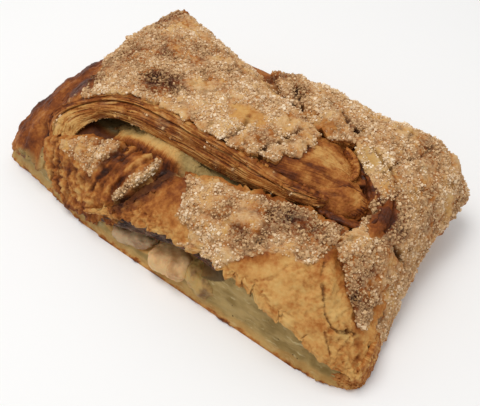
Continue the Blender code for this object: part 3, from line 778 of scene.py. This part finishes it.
def dressStrap(shape, strap):
    # relief of sugar, clumps, wrinkles and cut layers, and what the finish reads, with painted shade in
    # cracks, folds and the gaps between clumps and layers
    along, across, depth = floatLayers(shape, "along", "across", "depth")
    finish = finishLayers(shape)
    streaked = floatLayers(shape, "run", "strand", "streak")
    moves = []
    for vert in shape.verts:
        place, normal = vert.co, vert.normal
        down = vert[depth]
        if down > strapForm["hiddenDepth"]:
            storeAll(vert, finish, 0.0, strapForm["hiddenToast"])
            moves.append(place.copy())
            continue
        rim = smooth(down / 0.12)
        ragged = noise.fractal(place * 0.3, 1.0, 2.0, 3)
        lineLift, lineToast, lineSugar, lineShade = lineSum(strap["lines"], place)
        sugar = (strap["sugar"] + patchSum(strap, "sugarPatches", place)
                 + areaSum(strap.get("sugarAreas", ()), place.x, place.y) + lineSugar
                 + 0.22 * ragged + 0.22 * noise.noise(place * 1.1))
        sugar = smooth((sugar - 0.4) / 0.2) * smooth((normal.z + 0.1) / 0.4) * (1.0 - rim)
        toast = strap["toast"] + patchSum(strap, "toastPatches", place) + lineToast
        clump = noise.voronoi(place * 0.36)[0][0]
        nugget = noise.voronoi(place * 0.9)[0][0]
        lift = strap.get("swell", 0.7) * noise.fractal(place * 0.12, 1.0, 2.0, 3)
        lumps = (0.6 * (0.5 - clump) + 0.45 * (0.45 - nugget) + 0.7 * noise.noise(place * 0.3)
                 + 0.3 * noise.noise(place * 0.75))
        lift += sugar * (strapForm["sugarLift"] + lumps)
        # browner between the sugar lumps and paler on them: painted shade
        toast += sugar * (0.22 * noise.fractal(place * 0.11, 0.9, 2.1, 3) - 0.24 * lumps)
        blister = noise.noise(place * 0.24) + 0.5 * noise.noise(place * 0.6)
        lift += (1.0 - sugar) * (0.45 * blister + 0.12 * noise.noise(place * 1.5))
        crumbly = patchSum(strap, "crumblyPatches", place)
        broken = noise.fractal(place * 0.55, 0.7, 2.1, 4)
        lift += crumbly * (0.6 * (0.45 - nugget) + 0.8 * broken)
        toast -= crumbly * 0.22 * broken
        lift += (0.1 + 0.12 * sugar) * noise.noise(place * 1.9) + lineLift
        # painted shade in the lines' cracks and valleys and in the gaps between sugar clumps
        crevice = max(lineShade, sugar * smooth((clump - 0.62) / 0.3) * 0.45)
        toast += (1.0 - sugar) * 0.14 * blister
        if "streaks" in strap:
            amount, runs, strands = strap["streaks"]
            slow, fast = (vert[along], vert[across]) if runs == "along" else (vert[across], vert[along])
            line = noise.fractal(Vector((slow * 1.6, fast * strands, 3.1)), 0.8, 2.2, 3)
            lift += amount * line
            toast += 0.1 * line
            storeAll(vert, streaked, slow, fast * strands * 3.0, 0.5)
        if "folds" in strap:
            wave = noise.fractal(Vector((place.x * 0.3 + place.y * 0.05, place.y * 0.05, 1.7)), 0.8, 2.0, 3)
            lift += strap["folds"] * wave * (1.0 - 0.6 * sugar)
            # the troughs of the folds are browner and darker: painted shade
            toast += 0.25 * -wave
            crevice = max(crevice, smooth((-wave - 0.35) / 0.4) * 0.35 * (1.0 - sugar))
        if rim > 0.0:
            layer = down * strap["thickness"] * 1.1 + 0.9 * noise.noise(place * 0.16)
            ridge = 4.0 * (layer % 1.0) * (1.0 - layer % 1.0)
            lift += rim * (0.45 * (ridge - 0.6) + 0.8 * ragged)
            toast += rim * 0.16 * noiseAt(place.x * 0.2, place.y * 0.2, layer * 3.0)
            # painted shade in the gaps between the cut layers of the rim
            crevice = max(crevice, rim * smooth((0.35 - ridge) / 0.35) * 0.7)
        pale = min(patchSum(strap, "palePatches", place), 1.0)
        crumbs = max(rim, lineShade) * smooth((normal.z + 0.4) / 0.5)
        storeAll(vert, finish, sugar, toast, pale, min(crevice, 1.0), crumbs)
        moves.append(place + normal * lift + raggedShift(strap, place, vert[along], vert[across]))
    for vert, place in zip(shape.verts, moves):
        vert.co = place
        vert.co.z = max(vert.co.z, 0.3)


strapPieces = []
for name, strap in straps.items():
    shape = makeStrapShape(strap)
    dressStrap(shape, strap)
    strapPieces.append(addPiece(name, shape, crust))
    print(name, "made with", len(strapPieces[-1].data.polygons), "faces")


# Dough body under the straps

doughBody = {
    "nearEdge": -34.5,
    "farEdge": 35.5,
    "leftEnd": (-75.5, -58.5),  # x at the near and at the far edge
    "rightEnd": (72.0, 58.0),
    "leftCorner": (-22.0, 48.0, 5.8),
    "rightCorner": (58.0, 13.0, 5.0),
    "lipHeights": ((-69, 3), (-58, 9), (-43, 7), (-30, 7), (-18, 11.5), (-6, 16), (8, 19),
                   (24, 20), (38, 18.5), (50, 14.5), (61, 9), (71, 4)),
    "lipReach": 14.0,
    "valleyHeight": 23.0,
    "backHeight": 30.8,
    "endShare": 0.22,
    "endReach": 22.0,
    "footHeight": 2.2,
    "waist": 1.0,
    "nearSlope": (1.6, 2.3),
    "voxel": 0.6,
    "smoothings": 3,
    "streaks": 0.7,
    "flaps": 0.9,
    "toast": 0.14,
    "browningAndShadeToast": 0.42,
}
# each hollow gets painted shade inside it, rising from shadeFrom to shadeTo towards its top under the
# overhang
hollows = {
    "arch_hole": {"centre": (-35.0, -9.0, 25.6), "halfSizes": (9.5, 13.0, 4.2), "turn": -6.0,
                  "shadeFrom": 16.0, "shadeTo": 24.0, "shade": 0.85},
    "near_pocket": {"centre": (1.0, -38.5, 12.8), "halfSizes": (27.0, 12.0, 7.0), "turn": -12.0,
                    "shadeFrom": 9.0, "shadeTo": 13.0, "shade": 0.85},
    "end_hole": {"centre": (48.0, 2.0, 29.0), "halfSizes": (6.5, 6.5, 8.0), "turn": 6.0,
                 "shadeFrom": 19.0, "shadeTo": 26.0, "shade": 0.9},
}
slit = {
    "widths": ((2, -15.0, 3.6), (13, -12.5, 4.4), (24, -9.2, 3.2), (34, -6.2, 2.6), (44, -3.6, 2.2)),
    "top": 33.0,
    "depth": 13.0,
}


def doughTop(x, y):
    body = doughBody
    left = smooth((x - body["leftEnd"][0]) / body["endReach"])
    right = smooth((body["rightEnd"][0] - x) / body["endReach"])
    back = (body["backHeight"] - body["valleyHeight"]) * smooth((y + 11.0) / 13.0)
    crown = (body["valleyHeight"] + back) * (body["endShare"] + (1.0 - body["endShare"]) * min(left, right))
    front = between(body["lipHeights"], x)
    return front + (crown - front) * smooth((y - body["nearEdge"]) / body["lipReach"])


def doughPlan(across, along, inset=0.0):
    body = doughBody
    y = body["nearEdge"] + inset + (body["farEdge"] - body["nearEdge"] - 2.0 * inset) * along
    left = body["leftEnd"][0] + (body["leftEnd"][1] - body["leftEnd"][0]) * along + inset
    right = body["rightEnd"][1] + (body["rightEnd"][0] - body["rightEnd"][1]) * (1.0 - along) ** 2 - inset
    x = left + (right - left) * across
    leftX, leftReach, leftBack = body["leftCorner"]
    rightX, rightReach, rightBack = body["rightCorner"]
    back = leftBack * smooth((leftX - x) / leftReach) + rightBack * smooth((x - rightX) / rightReach)
    return x, y + back * (1.0 - along) ** 2


def makePillowCage():
    cage = bmesh.new()
    crease = cage.edges.layers.float.new("crease_edge")
    bmesh.ops.create_grid(cage, x_segments=12, y_segments=8, size=0.5)
    shares = {vert: (vert.co.x + 0.5, vert.co.y + 0.5) for vert in cage.verts}
    for vert, share in shares.items():
        x, y = doughPlan(*share)
        vert.co = (x, y, doughTop(x, y))
    rimShares = {vert: share for vert, share in shares.items() if vert.is_boundary}
    slopes = doughBody["nearSlope"]
    steps = ((doughBody["footHeight"], doughBody["waist"], slopes[0]), (0.0, 0.0, slopes[1]))
    for height, inset, near in steps:
        rim = [edge for edge in cage.edges if edge.is_boundary]
        above = {vert.co.to_tuple(4): vert for edge in rim for vert in edge.verts}
        newVerts, _ = newParts(bmesh.ops.extrude_edge_only(cage, edges=rim))
        lower = {}
        for vert in newVerts:
            share = rimShares[above[vert.co.to_tuple(4)]]
            x, y = doughPlan(*share, inset)
            vert.co = (x, y - near * (1.0 - share[1]), height)
            lower[vert] = share
        rimShares = lower
    rim = [edge for edge in cage.edges if edge.is_boundary]
    bmesh.ops.contextual_create(cage, geom=rim)
    for edge in rim:
        edge[crease] = 1.0
    bmesh.ops.recalc_face_normals(cage, faces=cage.faces)
    return cage


def ballPlace(centre, halfSizes, turn):
    return (Matrix.Translation(centre) @ Matrix.Rotation(math.radians(turn), 4, "Y")
            @ Matrix.Diagonal((*halfSizes, 1.0)))


def makeBall(centre, halfSizes, turn, rings=16):
    ball = bmesh.new()
    bmesh.ops.create_uvsphere(ball, u_segments=2 * rings, v_segments=rings, radius=1.0)
    bmesh.ops.transform(ball, matrix=ballPlace(centre, halfSizes, turn), verts=ball.verts)
    return ball


def makeSlitCutter():
    cutter = bmesh.new()
    bmesh.ops.create_grid(cutter, x_segments=len(slit["widths"]) - 1, y_segments=1, size=1.0)
    sides = [(x, y + side * width, slit["top"]) for side in (-0.5, 0.5) for x, y, width in slit["widths"]]
    for vert, place in zip(gridOrder(cutter), sides):
        vert.co = place
    under, _ = doubleFaces(cutter)
    bmesh.ops.translate(cutter, vec=(0, 0, -slit["depth"]), verts=under)
    bmesh.ops.recalc_face_normals(cutter, faces=cutter.faces)
    return cutter


def makeDoughShape():
    pillow = tempObject(makePillowCage())
    subsurf(pillow, 2)
    cutters = [tempObject(makeBall(hollow["centre"], hollow["halfSizes"], hollow["turn"]))
               for hollow in hollows.values()]
    cutters.append(tempObject(makeSlitCutter()))
    for cutter in cutters:
        cut = pillow.modifiers.new("Hollow", "BOOLEAN")
        cut.operation = "DIFFERENCE"
        cut.solver = "MANIFOLD"
        cut.object = cutter
    remesh = pillow.modifiers.new("Even faces", "REMESH")
    remesh.mode = "VOXEL"
    remesh.voxel_size = doughBody["voxel"]
    shape = evaluatedShape(pillow)
    for cutter in cutters:
        bpy.data.objects.remove(cutter, do_unlink=True)
    for _ in range(doughBody["smoothings"]):
        bmesh.ops.smooth_vert(shape, verts=shape.verts, factor=0.5, use_axis_x=True, use_axis_y=True,
                              use_axis_z=True)
    shape.normal_update()
    return shape


def dressDough(shape):
    finish = finishLayers(shape)
    hollowViews = [(ballPlace(hollow["centre"], hollow["halfSizes"], hollow["turn"]).inverted(), hollow)
                   for hollow in hollows.values()]
    moves = []
    for vert in shape.verts:
        place, normal = vert.co, vert.normal
        shade = 0.0
        # painted shade inside the hollows, darker towards their tops
        for inwards, hollow in hollowViews:
            if (inwards @ place).length < 1.09:
                high = (place.z - hollow["shadeFrom"]) / (hollow["shadeTo"] - hollow["shadeFrom"])
                shade = max(shade, hollow["shade"] * smooth(high))
        side = 1.0 - smooth((abs(normal.z) - 0.45) / 0.35)
        near = smooth((-24.0 - place.y) / 5.0) * smooth((0.8 - normal.z) / 0.3)
        flat = place.z < 0.3
        streak = noise.fractal(Vector((place.x * 0.1, place.y * 0.1, place.z * 0.25)), 0.9, 2.1, 4)
        lift = 0.0 if flat else side * doughBody["streaks"] * streak + 0.2 * noise.noise(place * 0.7)
        foot = 1.0 - smooth((place.z - 0.6 - 1.1 * noise.noise(place * 0.45)) / 0.8)
        if not flat:
            lift += foot * (0.2 + 0.5 * noise.fractal(place * 0.35, 0.7, 2.2, 4))
            flaps = side * near * smooth((place.x - 44.0) / 8.0)
            waves = noise.fractal(Vector((place.x * 0.32, 0.4, place.z * 0.08)), 0.8, 2.0, 3)
            lift += flaps * doughBody["flaps"] * waves
        high = smooth((place.z - 17.0) / 5.0)
        # the valley between the lobe and the front strap gets painted shade
        valley = (smooth((place.z - 11.0) / 3.0) * (1.0 - side) * smooth((-3.0 - place.x) / 4.0)
                  * smooth((-13.0 - place.y) / 3.0))
        onTop = high * smooth((6.0 - place.y) / 6.0) * smooth((34.0 - place.x) / 6.0) * (1.0 - valley)
        # browner on the top at the right end, and painted shade on the back top between the straps and in
        # the valley
        browningAndShade = max(high * smooth((place.x - 28.0) / 6.0), high * smooth((place.y - 12.0) / 4.0), valley)
        tan = 1.0 - smooth((place.z - 2.4 - 0.8 * noise.noise(place * 0.3)) / 1.6)
        crusty = foot * (0.32 + 0.5 * noise.fractal(place * 0.35, 0.8, 2.0, 3))
        toast = doughBody["toast"] + 0.1 * streak + crusty + doughBody["browningAndShadeToast"] * browningAndShade
        pale = max(near, onTop) * (1.0 - foot) * (1.0 - 0.5 * tan)
        storeAll(vert, finish, 0.0, toast, pale, max(shade, 0.7 * valley), foot * 0.5)
        moves.append(place + normal * lift)
    for vert, place in zip(shape.verts, moves):
        vert.co = place
        vert.co.z = max(vert.co.z, 0.0)


shape = makeDoughShape()
dressDough(shape)
doughPiece = addPiece("dough_body", shape, crust)
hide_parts("pastry")
print("dough body made with", len(doughPiece.data.polygons), "faces")


# Filling and apple

filling = {"centre": (2.0, -8.0, 13.2), "halfSizes": (58.0, 22.0, 9.8), "lumps": 1.2, "shrink": 0.6}
apples = {
    "apple_chunk_left": {
        "node": "apple_piece_left",
        "centre": (-9.5, -31.8, 6.2), "halfSizes": (9.0, 4.4, 2.4), "turn": -16.0,
        "light": paint(188, 158, 118), "deep": paint(150, 116, 82),
    },
    "apple_chunk_middle": {
        "node": "apple_piece_middle",
        "centre": (5.8, -32.8, 6.8), "halfSizes": (8.4, 4.8, 3.5), "turn": -6.0,
        "light": paint(216, 176, 122), "deep": paint(176, 130, 82),
    },
    "apple_chunk_right": {
        "node": "apple_piece_right",
        "centre": (17.8, -32.4, 7.4), "halfSizes": (5.6, 4.6, 4.6), "turn": 24.0,
        "light": paint(184, 148, 84), "deep": paint(122, 86, 42),
    },
}


def makeFilling():
    shape = makeBall(filling["centre"], filling["halfSizes"], 0.0, rings=90)
    shape.normal_update()
    for vert in shape.verts:
        cell = noise.voronoi(vert.co * 0.13)[0][0]
        lift = filling["lumps"] * (0.8 - 1.5 * cell) + 0.35 * noise.fractal(vert.co * 0.4, 1.0, 2.0, 3)
        vert.co += vert.normal * (lift - filling["shrink"])
    steadyOrder(shape)
    piece = addPiece("apple_filling_soft", shape, fillingMaterial)
    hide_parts("filling")


def makeApple(name, apple):
    cage = bmesh.new()
    bmesh.ops.create_cube(cage, size=2.0)
    bmesh.ops.bevel(cage, geom=cage.edges[:], offset=0.42, offset_type="OFFSET", segments=1,
                    profile=0.5, affect="EDGES", material=-1)
    place = ballPlace(apple["centre"], apple["halfSizes"], apple["turn"])
    bmesh.ops.transform(cage, matrix=place, verts=cage.verts)
    soft = tempObject(cage)
    subsurf(soft, 4)
    shape = evaluatedShape(soft)
    for vert in shape.verts:
        lift = 1.3 * noise.fractal(vert.co * 0.17, 1.0, 2.0, 3) + 0.15 * noise.noise(vert.co * 1.1)
        vert.co += vert.normal * lift
    material = makeAppleMaterial(name, apple["light"], apple["deep"])
    piece = addPiece(name, shape, material)
    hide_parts(apple["node"])


makeFilling()
for name, apple in apples.items():
    makeApple(name, apple)
print("filling and apple made")


# Layered strips: the cut side of the back strap and the flaky rims
# Each strip hangs between two edges; its layers run along it and face to the right of its run
plainStrip = {"sugar": 0.0, "gaps": 0.4, "start": 0.0, "groove": 0.0, "finish": crust, "slot": "crust"}
# dark finish of the strip under the pocket's lip: painted shadow and dark filling
lipShadowFinish = makeAppleMaterial("apple_skin", paint(116, 84, 58), paint(58, 34, 22))
layeredStrips = {
    "cut_layers": {
        "top": ((-49, -27.5, 15.5), (-54.5, -25, 19), (-55.5, -21, 24), (-49.5, -17.9, 28.5),
                (-40, -12.8, 33.5), (-28, -9.3, 37), (-12, -9.3, 38), (4, -9.8, 37), (15, -8.6, 35.5),
                (24, -8.2, 34), (33, -6.8, 32.4), (39, -4.6, 31)),
        "bottom": ((-43, -25.5, 19), (-44, -23, 20.5), (-43.6, -20.5, 21.8), (-41, -17.4, 24.5),
                   (-36, -14.6, 27.8), (-27, -12, 28.6), (-14, -11.4, 26.8), (2, -11.2, 26),
                   (14, -10.2, 26), (24, -8.9, 26.2), (33, -6.9, 27.2), (38, -5.4, 28.2)),
        "layers": 30, "rowsEach": 4, "columns": 300, "bulge": 1.0, "depth": 1.6, "ruffle": 0.22,
        "toast": 0.38, "toastRange": 0.17, "sugar": 0.35, "gaps": 0.36, "start": -0.28, "groove": 0.8,
    },
    "corner_layers": {
        "top": ((60.5, -33, 4), (66.8, -33.2, 6.6), (69.2, -28.5, 9.5), (68.4, -24, 10.5), (66.8, -18, 9)),
        "bottom": ((61, -33.4, 0.6), (67.6, -34, 0.7), (70.4, -29, 0.8), (69.4, -24, 1.0), (68, -18, 1.2)),
        "layers": 9, "rowsEach": 6, "columns": 150, "bulge": 0.4, "depth": 1.4, "ruffle": 0.3,
        "toast": 0.34, "toastRange": 0.12,
    },
    "inner_rim": {
        "top": ((33, 14.5, 32.6), (37, 13.4, 33), (42.5, 10.6, 33), (46, 8.4, 31.8), (50, 4.4, 31.5),
                (52.6, 1, 30.8), (53, -3.4, 29.8), (49, -6, 28.6), (44, -6.4, 28.6), (38, -7.2, 28.8)),
        "bottom": ((31, 12, 30), (36, 11.4, 29), (40.5, 8.5, 28), (43.5, 6.5, 27), (47, 3, 26),
                   (49, 0.5, 25.5), (49.6, -2.4, 25.5), (47, -3.4, 25.5), (43, -4.4, 26), (38, -5.6, 27)),
        "layers": 5, "rowsEach": 5, "columns": 130, "bulge": 0.8, "depth": 1.0, "ruffle": 0.3,
        "toast": 0.68, "toastRange": 0.12, "gaps": 0.6,
    },
    "curled_flake": {
        "top": ((33, 14.2, 33.4), (36.5, 13, 33.6), (39.6, 10.2, 33.4), (41.4, 7, 32.6), (40, 4.2, 32.4)),
        "bottom": ((33, 12.5, 31), (35.5, 11.4, 31), (37.8, 9.4, 31), (39.4, 7, 30.8), (38.6, 5.2, 31)),
        "layers": 3, "rowsEach": 5, "columns": 70, "bulge": 0.5, "depth": 0.8, "ruffle": 0.2,
        "toast": 0.42, "toastRange": 0.1, "start": 0.1,
    },
    # a dark strip under the pocket's lip: painted shadow beneath the lip, and a dark smear of filling
    "apple_skin": {
        "top": ((-24, -33.4, 8), (-16, -32.8, 12), (-8, -32, 15), (0, -31.4, 17.4), (8, -31.2, 19),
                (15, -31, 19), (20, -31, 17.5), (23, -31, 15)),
        "bottom": ((-24, -34.6, 5.8), (-17, -34.2, 7.6), (-9, -33.6, 10.2), (-2, -33.2, 12.6),
                   (3, -33, 13.8), (9, -32.8, 15.6), (15, -32.4, 16), (19.6, -32, 15), (22.5, -31.6, 13)),
        "layers": 3, "rowsEach": 8, "columns": 120, "bulge": 0.8, "depth": 1.2, "ruffle": 0.4,
        "toast": 0.6, "toastRange": 0.1, "finish": lipShadowFinish, "slot": "apple",
    },
}


def makeLayers(name, strip):
    top = [Vector(point) for point in strip["top"]]
    bottom = [Vector(point) for point in strip["bottom"]]
    shape = bmesh.new()
    finish = finishLayers(shape)
    streaked = floatLayers(shape, "run", "strand", "streak")
    rows = strip["layers"] * strip["rowsEach"]
    bmesh.ops.create_grid(shape, x_segments=strip["columns"], y_segments=rows, size=0.5)
    inwards = {}
    for vert in shape.verts:
        along, up = vert.co.x + 0.5, vert.co.y + 0.5
        high, low = splineAt(top, along), splineAt(bottom, along)
        ahead = splineAt(top, along + 0.01) - splineAt(top, along - 0.01)
        outward = ahead.cross(high - low).normalized()
        drift = 4.2 * noiseAt(along * 5.0, up * 2.0, 0.4) + 1.9 * noiseAt(along * 15.0, up * 4.0, 2.4)
        layer = up * strip["layers"] + drift
        number, within = math.floor(layer), layer % 1.0
        ridge = math.sqrt(max(4.0 * within * (1.0 - within), 0.0))
        piece = noise.cell(Vector((along * 30.0 + 5.3 * number, number, 0.0)))
        torn = noise.fractal(Vector((along * 12.0, number * 7.3, 0.0)), 0.8, 2.2, 3)
        reach = torn + 1.1 * (piece - 0.5)
        frayed = noiseAt(along * 70.0, number * 3.1, up * 9.0)
        rope = noise.fractal(Vector((along * 6.0, up * 4.5, 5.0)), 0.8, 2.0, 2)
        split = 0.35 + 0.65 * smooth(0.5 + 2.2 * noiseAt(along * 8.0, up * 5.0, 8.0))
        out = (strip["bulge"] * (math.sin(math.pi * up) + 0.5 * rope)
               + split * strip["ruffle"] * (0.6 * (ridge - 0.75) + reach + 0.3 * frayed))
        grooveUp = 0.76 + 0.1 * noiseAt(along * 4.0, 0.0, 7.0)
        groove = strip["groove"] * (1.0 - smooth(abs(up - grooveUp) / 0.06)) * smooth(along / 0.1)
        out += strip["groove"] * noiseAt(along * 7.0, up * 2.0, 9.0) - groove
        fade = smooth(along / 0.04) * smooth((1.0 - along) / 0.04)
        vert.co = low.lerp(high, up) + outward * (out * fade + 0.2)
        inwards[vert.co.to_tuple(3)] = outward * -strip["depth"]
        tone = noiseAt(along * 6.0, number * 5.7, 1.0) + 0.6 * noiseAt(along * 12.0, up * 3.0, 4.0)
        topShare = 1.0 - 1.7 * smooth((up - 0.66) / 0.26)
        toast = (strip["toast"] + strip["toastRange"] * (tone - 0.8 * reach + 0.4 * frayed - 0.7 * rope)
                 + strip["start"] * smooth((0.42 - along) / 0.26) * topShare)
        storeAll(vert, streaked, along * 4.0, layer * 1.5, 0.6 * split * smooth((along - 0.2) / 0.2))
        # painted shade in the gaps between layers and in the groove under the sugar edge
        gap = smooth((0.5 - ridge) / 0.5) * smooth((tone + 0.5) / 0.6) * split * strip["gaps"]
        sugar = strip["sugar"] * smooth(2.0 * noise.noise(vert.co * 0.3))
        storeAll(vert, finish, sugar, toast, 0.0, max(gap, 0.6 * groove), 0.5)
    innerVerts, _ = doubleFaces(shape)
    for vert in innerVerts:
        vert.co += inwards[vert.co.to_tuple(3)]
    bmesh.ops.recalc_face_normals(shape, faces=shape.faces)
    steadyOrder(shape)
    return addPiece(name, shape, strip["finish"])


stripPieces = [makeLayers(name, {**plainStrip, **strip}) for name, strip in layeredStrips.items()]
print("layered strips made")


# Sugar and crumbs

topping = {
    "coarse_sugar": {"host": "sugar", "perSquareMm": 1.05, "size": (0.45, 1.2), "seed": 4, "lift": 0.1,
                     "clumps": 0.5, "material": sugarMaterial},
    "fine_sugar": {"host": "sugar", "perSquareMm": 1.9, "size": (0.3, 0.75), "seed": 9, "lift": 0.05,
                   "clumps": 0.43, "material": sugarMaterial},
    "crust_crumbs": {"host": "crumb", "perSquareMm": 0.4, "size": (0.4, 1.4), "seed": 21, "lift": 0.05,
                     "clumps": 0.5, "material": crust},
}
grainLook = {
    "cloudSize": 8.0,
    "tints": (0.2, 0.72),
    "evenToast": 0.42,  # grains are darker on crust that is browner than this
    "toastTint": 0.85,
    "smallBias": 2.2,
}


def makeGrain(name, material, seed):
    # one uneven crystal, a millimetre across
    rng = random.Random(seed)
    grain = bmesh.new()
    bmesh.ops.create_cube(grain, size=mm * 0.75)
    for vert in grain.verts:
        vert.co *= rng.uniform(0.75, 1.25)
    mesh = meshFrom(grain, name)
    mesh.materials.append(material)
    return bpy.data.objects.new(name, mesh)


def hostMesh(pieces):
    joined = bmesh.new()
    for piece in pieces:
        joined.from_mesh(piece.data)
    return tempObject(joined)


def randomNumber(low, high, seed):
    sockets = {2: low, 3: high, "Seed": seed}
    return Wire.node("FunctionNodeRandomValue", {"data_type": "FLOAT"}, sockets, 1)


def surfaceValue(name):
    return Wire.node("GeometryNodeInputNamedAttribute", {"data_type": "FLOAT"}, {"Name": name})


def scatter(name, spread, pieces):
    material = spread["material"]
    group = bpy.data.node_groups.new(name, "GeometryNodeTree")
    for side in ("INPUT", "OUTPUT"):
        group.interface.new_socket("Geometry", in_out=side, socket_type="NodeSocketGeometry")
    Wire.tree = group
    surface = Wire.node("NodeGroupInput")
    amount = surfaceValue(spread["host"])
    cloudSockets = {"Scale": 1.0 / (grainLook["cloudSize"] * mm), "Detail": 5.0, "Roughness": 0.62}
    cloud = Wire.node("ShaderNodeTexNoise", None, cloudSockets)
    clumped = cloud.rise(spread["clumps"] - 0.05, spread["clumps"] + 0.07)
    density = amount * amount * clumped * (spread["perSquareMm"] / mm / mm)
    points = Wire.node("GeometryNodeDistributePointsOnFaces", {"distribute_method": "RANDOM"},
                       {"Mesh": surface, "Density": density, "Seed": spread["seed"]})
    distribute = points.socket.node
    small, large = spread["size"]
    size = randomNumber(0.0, 1.0, 3) ** grainLook["smallBias"] * (large - small) + small
    turnSockets = {0: (0.0, 0.0, 0.0), 1: (math.tau, math.tau, math.tau), "Seed": 5}
    turn = Wire.node("FunctionNodeRandomValue", {"data_type": "FLOAT_VECTOR"}, turnSockets, 0)
    normal = Wire(distribute.outputs["Normal"])
    raised = Wire.node("ShaderNodeVectorMath", {"operation": "SCALE"},
                       {0: normal, "Scale": spread["lift"] * mm})
    points = Wire.node("GeometryNodeSetPosition", None, {"Geometry": points, "Offset": raised})
    grains = [makeGrain(f"{name}_grain_{seed}", material, seed) for seed in range(4)]
    shelf = bpy.data.collections.new(f"{name}_grains")
    for grain in grains:
        shelf.objects.link(grain)
    kinds = Wire.node("GeometryNodeCollectionInfo", None,
                      {"Collection": shelf, "Separate Children": True, "Reset Children": True})
    placed = Wire.node("GeometryNodeInstanceOnPoints", None,
                       {"Points": points, "Instance": kinds, "Pick Instance": True, "Rotation": turn,
                        "Scale": size})
    browner = grainLook["evenToast"] - surfaceValue("toast")
    tint = randomNumber(*grainLook["tints"], 8) + browner * grainLook["toastTint"]
    tinted = Wire.node("GeometryNodeStoreNamedAttribute", {"data_type": "FLOAT", "domain": "INSTANCE"},
                       {"Geometry": placed, "Name": "tint", "Value": tint})
    real = Wire.node("GeometryNodeRealizeInstances", None, {"Geometry": tinted})
    finish = group.nodes.new("NodeGroupOutput")
    group.links.new(real.socket, finish.inputs[0])
    host = hostMesh(pieces)
    host.modifiers.new("Scatter", "NODES").node_group = group
    mesh = evaluatedMesh(host)
    mesh.name = name
    bpy.data.collections.remove(shelf)
    for grain in grains:
        bpy.data.objects.remove(grain)
    mesh.materials.clear()
    mesh.materials.append(material)
    mesh.shade_flat()
    piece = linked(name, mesh)
    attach(piece, "root")
    print(name, "has", len(mesh.polygons), "faces")


for name, spread in topping.items():
    scatter(name, spread, strapPieces + stripPieces[:1])


# Floor, light and camera

studio = {
    "floor": (0.94, 0.935, 0.925),
    "sky": (1.0, 1.0, 1.0),
    "skyStrength": 0.62,
    "keyPlace": (-0.08, -0.06, 0.52),
    "keySize": 0.28,
    "keyPower": 1.35,
}
view = {"azimuth": 38.0, "elevation": 48.0, "distance": 210.0, "target": (12.0, -8.5, 15.0), "lens": 52.5,
        "sensor": 36.0}


def makeStudio():
    shape = bmesh.new()
    bmesh.ops.create_grid(shape, x_segments=1, y_segments=1, size=2.0)
    mesh = meshFrom(shape, "floor")
    look = {"Roughness": 0.9, "Base Color": (*studio["floor"], 1.0)}
    mesh.materials.append(startMaterial("pale_floor", look)[0])
    floor = linked("floor", mesh)
    world = bpy.data.worlds.new("studio")
    bpy.context.scene.world = world
    world.use_nodes = True
    sky = world.node_tree.nodes["Background"]
    sky.inputs["Color"].default_value = (*studio["sky"], 1.0)
    sky.inputs["Strength"].default_value = studio["skyStrength"]
    lamp = bpy.data.lights.new("key", "AREA")
    lamp.size = studio["keySize"]
    lamp.energy = studio["keyPower"]
    key = linked("key", lamp)
    key.location = studio["keyPlace"]
    key.rotation_euler = (-Vector(studio["keyPlace"])).to_track_quat("-Z", "Y").to_euler()


def makeCamera():
    turn, tilt = math.radians(view["azimuth"]), math.radians(view["elevation"])
    back = Vector((math.sin(turn) * math.cos(tilt), -math.cos(turn) * math.cos(tilt), math.sin(tilt)))
    data = bpy.data.cameras.new("camera")
    data.lens = view["lens"]
    data.sensor_width = view["sensor"]
    data.clip_start = 0.01
    camera = linked("camera", data)
    camera.location = (Vector(view["target"]) + guideShift + back * view["distance"]) * mm
    camera.rotation_euler = (-back).to_track_quat("-Z", "Y").to_euler()
    bpy.context.scene.camera = camera


makeStudio()
makeCamera()
bpy.context.scene.view_settings.view_transform = "Standard"
print("studio made")
